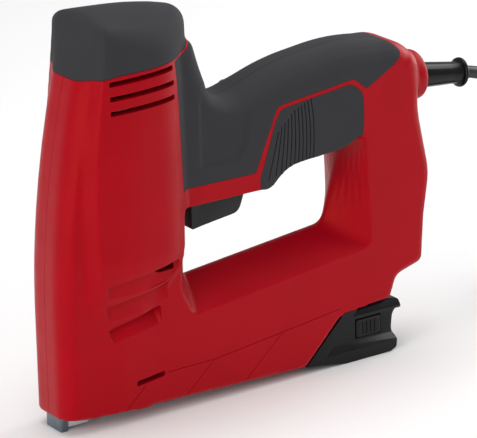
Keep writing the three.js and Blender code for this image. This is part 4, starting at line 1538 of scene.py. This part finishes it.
    def _engrave_palm(self, pad: bpy.types.Object) -> None:
        """Cuts the fan of curved grooves into both faces of the palm pad.

        Args:
            pad: the palm pad.
        """
        floor = self.half_frame - 0.95
        for k in range(self.palm_grooves):
            share = k / (self.palm_grooves - 1)
            sag = 9.6 * max(0.5 - share, 0)
            top = Vector((113.6 + 18.0 * share, 126.5 + 7.6 * share - sag))
            foot = Vector((107.6 + 24.6 * share ** 0.8, 99.5 + 4.0 * share ** 0.5))
            belly = (top + foot) / 2 + Vector((2.6 * share, -0.6))
            for side in (-1, 1):
                rings = []
                for step in range(9):
                    t = step / 8
                    at = top * (1 - t) ** 2 + belly * (2 * t * (1 - t)) + foot * t**2
                    run = ((belly - top) * (1 - t) + (foot - belly) * t).normalized()
                    across = Vector((-run.y, run.x)) * 0.42
                    section = ((1.0, PROUD), (0.5, floor), (-0.5, floor), (-1.0, PROUD))
                    rings.append([(at.x + across.x * part, side * y, at.y + across.y * part)
                                  for part, y in section])
                combine(pad, loft("groove", rings), Operation.CUT)

    def _hollow(self, shell: bpy.types.Object) -> None:
        """Cuts the chambers, slots and screw holes out of the housing.

        Args:
            shell: the piece to hollow.
        """
        right = [Corner(62.0, 11.0, 2), Corner(54.0, 19.0, 3), Corner(28.0, 20.0, 3),
                 Corner(17.0, 15.0, 2)]
        left = [Corner(c.a, -c.b, c.r) for c in reversed(right)]
        combine(shell, prism("head_room", left + right, Lies.ALONG_Z, 70.0, 160.6), Operation.CUT)
        for x, half, z in self.rooms:
            combine(shell, block("room", x, (-half, half), z), Operation.CUT)
        mouth = [Corner(127.0, -6.0), Corner(127.0, 3.4), Corner(149.0, 25.8), Corner(205.0, 26.9),
                 Corner(205.0, -6.0)]
        combine(shell, prism("mouth", mouth, Lies.ALONG_Y, -WIDE, WIDE), Operation.CUT)
        bores = [(6.9, (180.0, 0.0, CORD_Z), (210.0, 0.0, CORD_Z), 48),
                 (1.8, (PIVOT, -12.4, PIVOT), (PIVOT, 12.4, PIVOT), 24)]
        for x, z in self.screws:
            bores += [(1.8, (x, -12.0, z), (x, 13.0, z), 32), (3.4, (x, 11.0, z), (x, WIDE, z), 32)]
        for radius, start, end, sides in bores:
            hole = turned("bore", [(0, radius), (1, radius)], Vector(start), Vector(end), sides)
            combine(shell, hole, Operation.CUT)


# ---- Trigger ----


@dataclass
class Trigger:
    """The trigger under the handle's red band."""

    width: float = 16.8
    bore: float = 1.62

    def build(self) -> None:
        """Makes the trigger with a hollowed finger face."""
        outline = [Corner(70.9, 81.4, 1.0), Corner(76.0, 82.3, 3.0), Corner(85.0, 83.4, 8.0),
                   Corner(96.6, 84.8, 3.5), Corner(99.2, 92.0, 1.0), Corner(102.0, 99.0, 1.5),
                   Corner(98.0, 102.0, 1.0), Corner(92.0, 97.0, 1.0), Corner(77.0, 97.0, 0.6),
                   Corner(76.0, 100.0, 0.6), Corner(70.9, 100.0, 0.8)]
        trigger = prism("finger_trigger", outline, Lies.ALONG_Y, -self.width / 2, self.width / 2)
        hole = turned("bore", [(0, self.bore), (1, self.bore)], Vector((PIVOT, -20, PIVOT)),
                      Vector((PIVOT, 20, PIVOT)), 32)
        combine(trigger, hole, Operation.CUT)
        soften(trigger, 0.9, 4)
        dress(trigger, DARK, Placement("trigger", "trigger_black", ("trigger",)))


# ---- Magazine ----


@dataclass
class Magazine:
    """The slide's end with its finger hollows, its release buttons and the folded steel nose."""

    half: float = 16.5
    hollow: float = 3.0
    ribs: int = 4

    def build(self) -> None:
        """Makes the slide's end, its buttons and the nose plate."""
        self._slide_end()
        for side, word in ((-1, "left"), (1, "right")):
            self._button(side, word)
        self._nose_plate()

    def _slide_end(self) -> None:
        """Makes the black end of the slide."""
        outline = [Corner(127.4, 3.4), Corner(149.4, 25.4, 0.4), Corner(176.5, 26.0, 0.8),
                   Corner(182.0, 25.0, 1.0), Corner(181.9, 20.8, 1.0), Corner(179.2, 17.8, 2.0),
                   Corner(178.4, 10.0, 2.0), Corner(180.0, 6.2, 1.2), Corner(179.6, 1.6, 1.2),
                   Corner(176.0, 0.0, 1.2), Corner(150.0, 0.0, 1.0), Corner(141.0, 1.6, 1.0)]
        end = prism("slide_end", outline, Lies.ALONG_Y, -self.half, self.half)
        for side in (-1, 1):
            for cutter in self._side_cuts(side):
                combine(end, cutter, Operation.CUT)
        combine(end, block("room", (117, 151), (-8.1, 8.1), (-1, 28)), Operation.CUT)
        combine(end, block("rail_room", (127, 158.4), (-5.1, 5.1), (6.1, 23.4)), Operation.CUT)
        for side in (-1, 1):
            y = tuple(sorted((side * 6.2, side * 30.0)))
            combine(end, block("pocket", (157.6, 172.4), y, (9.6, 19.4)), Operation.CUT)
        soften(end, 0.45, 3)
        dress(end, GLOSS, Placement("magazine_slide", "gloss_black", ("magazine_slide",)))

    def _side_cuts(self, side: int) -> list[bpy.types.Object]:
        """Returns the cuts of one side: the sloping finger hollow and the top chamfer.

        Args:
            side: -1 for left, 1 for right.

        Returns:
            The cutting solids.
        """
        deep = self.half - self.hollow

        def run(name: str, section: Sequence[Flat], start: float) -> bpy.types.Object:
            """Makes a cut that runs back from a front end leaning like the slide's.

            Args:
                name: the cutting solid's name.
                section: its section, as half-widths and heights.
                start: the X of its front end at the floor.

            Returns:
                The cutting solid.
            """
            front = [(start + z, side * y, z) for y, z in section]
            back = [(190.0, side * y, z) for y, z in section]
            return loft(name, [front, back])

        hollow = [(deep, 21.2), (20.0, 21.2), (20.0, 5.2), (self.half, 5.6), (deep, 8.6)]
        chamfer = [(12.6, 27.0), (20.0, 27.0), (20.0, 21.6), (self.half, 22.4), (13.6, 26.2)]
        return [run("hollow", hollow, 133.0), run("chamfer", chamfer, 131.5)]

    def _button(self, side: int, word: str) -> None:
        """Makes a release button with grip ribs.

        Args:
            side: -1 for left, 1 for right.
            word: the side's name.
        """
        low, high = (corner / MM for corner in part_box(f"slide_latch_{word}"))
        inner, outer = (low.y, high.y) if side > 0 else (-high.y, -low.y)
        face = rectangle((low.x, high.x), (low.z, high.z), 1.2)
        button = prism(f"release_{word}", face, Lies.ALONG_Y, *sorted((side * inner, side * outer)))
        y = tuple(sorted((side * (outer - 0.45), side * (outer + 3))))
        for k in range(self.ribs):
            x = low.x + (high.x - low.x) * (0.26 + 0.16 * k)
            gap = block("rib_gap", (x - 0.35, x + 0.35), y, (low.z + 1.5, high.z - 1.5))
            combine(button, gap, Operation.CUT)
        soften(button, 0.25, 2)
        latch = f"slide_latch_{word}"
        dress(button, GLOSS, Placement(latch, "gloss_black", (latch,)))

    def _nose_plate(self) -> None:
        """Makes the folded steel plate in front of the driver blade, in steel darkened as a painted
        reflection.
        """
        left = [Corner(-0.75, -6.4, 0.9), Corner(2.6, -6.4, 0.1), Corner(2.6, -5.5, 0.1),
                Corner(0.7, -5.5, 0.4)]
        right = [Corner(c.a, -c.b, c.r) for c in reversed(left)]
        plate = prism("folded_nose", left + right, Lies.ALONG_Z, 0.0, 34.0)
        soften(plate, 0.12, 2)
        dress(plate, REFLECTION_DARKENED_STEEL, Placement("root", "bright_steel", ("nose_plate",)))


# ---- Springs and inner parts ----


@dataclass(frozen=True)
class Spring:
    """A wound spring that stands in its CAD tube, listed with the name of its joint."""

    node: str
    body: str
    axis: Lies
    wire: float
    turns: float
    joint: str
    keep: float
    from_high: bool

    def build(self) -> None:
        """Winds the wire with the screw modifier and sets it in its tube."""
        low, high = (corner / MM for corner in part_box(self.node))
        middle = (low + high) / 2
        lying = self.axis is Lies.ALONG_X
        length = (high.x - low.x if lying else high.z - low.z) - self.wire
        radius = (high.y - low.y) / 2 - self.wire / 2
        deselect()
        bpy.ops.mesh.primitive_circle_add(vertices=10, radius=self.wire / 2 * MM,
                                          location=(radius * MM, 0, 0), rotation=(math.pi / 2, 0, 0))
        coil = bpy.context.object
        coil.name = f"wound_{self.node}"
        settle(coil)
        steps = int(20 * self.turns)
        apply_modifier(coil, "SCREW", angle=2 * math.pi * self.turns, screw_offset=length * MM,
                       steps=steps, render_steps=steps, iterations=1, use_smooth_shade=True)
        close_up(coil)
        if lying:
            start = Vector((low.x + self.wire / 2, middle.y, middle.z))
            coil.rotation_euler = (0, math.pi / 2, 0)
        else:
            start = Vector((middle.x, middle.y, low.z + self.wire / 2))
        coil.location = start * MM
        settle(coil)
        smooth_by_angle(coil, 60)
        dress(coil, PLATED, Placement(self.body, "bright_steel", (self.node,)))
        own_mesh(coil)


SPRINGS = (
    Spring("return_spring", "root", Lies.ALONG_Z, 1.3, 7.0, "driver_stroke", 0.335, False),
    Spring("trigger_spring", "root", Lies.ALONG_Z, 0.6, 6.0, "trigger_pull", 0.86, True),
    Spring("pusher_spring", "magazine_slide", Lies.ALONG_X, 0.55, 46.0, "pusher_travel", 0.335, True),
)

KEPT_NODES: tuple[tuple[Plastic | Metal | WoundWire, tuple[str, ...]], ...] = (
    (DARK_STEEL, (*(f"housing_screw_{k}" for k in range(1, 9)), "solenoid_yoke", "driver_carrier")),
    (BRIGHT, ("driver_blade", "solenoid_plunger", "nose_block", "magazine_channel", "staple_rail")),
    (PLATED, ("trigger_pin", "pusher_rod", "staple_pusher", "clamp_screw_left", "clamp_screw_right")),
    (GRIP, ("top_buffer", "bottom_buffer")),
    (NYLON, ("coil_bobbin", "switch_plunger", "terminal_block")),
    (COPPER, ("solenoid_winding",)),
    (DARK, ("trigger_switch", "capacitor", "power_thyristor", "cord_clamp")),
    (SHEATH, ("coil_lead_left", "coil_lead_right", "inner_cord")),
    (BOARD, ("circuit_board",)),
)


def dress_kept_nodes() -> None:
    """Gives the CAD nodes that stay their finishes."""
    for finish, names in KEPT_NODES:
        for name in names:
            paint(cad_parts[name], finish)
            LOG.info("%s keeps its CAD shape in %s", name, finish.name)


def main() -> None:
    """Builds the studio and every sub-assembly in order."""
    logging.basicConfig(level=logging.INFO, format="%(message)s")
    Studio().build()
    MainsLead().build()
    Shells().build()
    Trigger().build()
    Magazine().build()
    for spring in SPRINGS:
        spring.build()
    dress_kept_nodes()


if __name__ == "__main__":
    main()
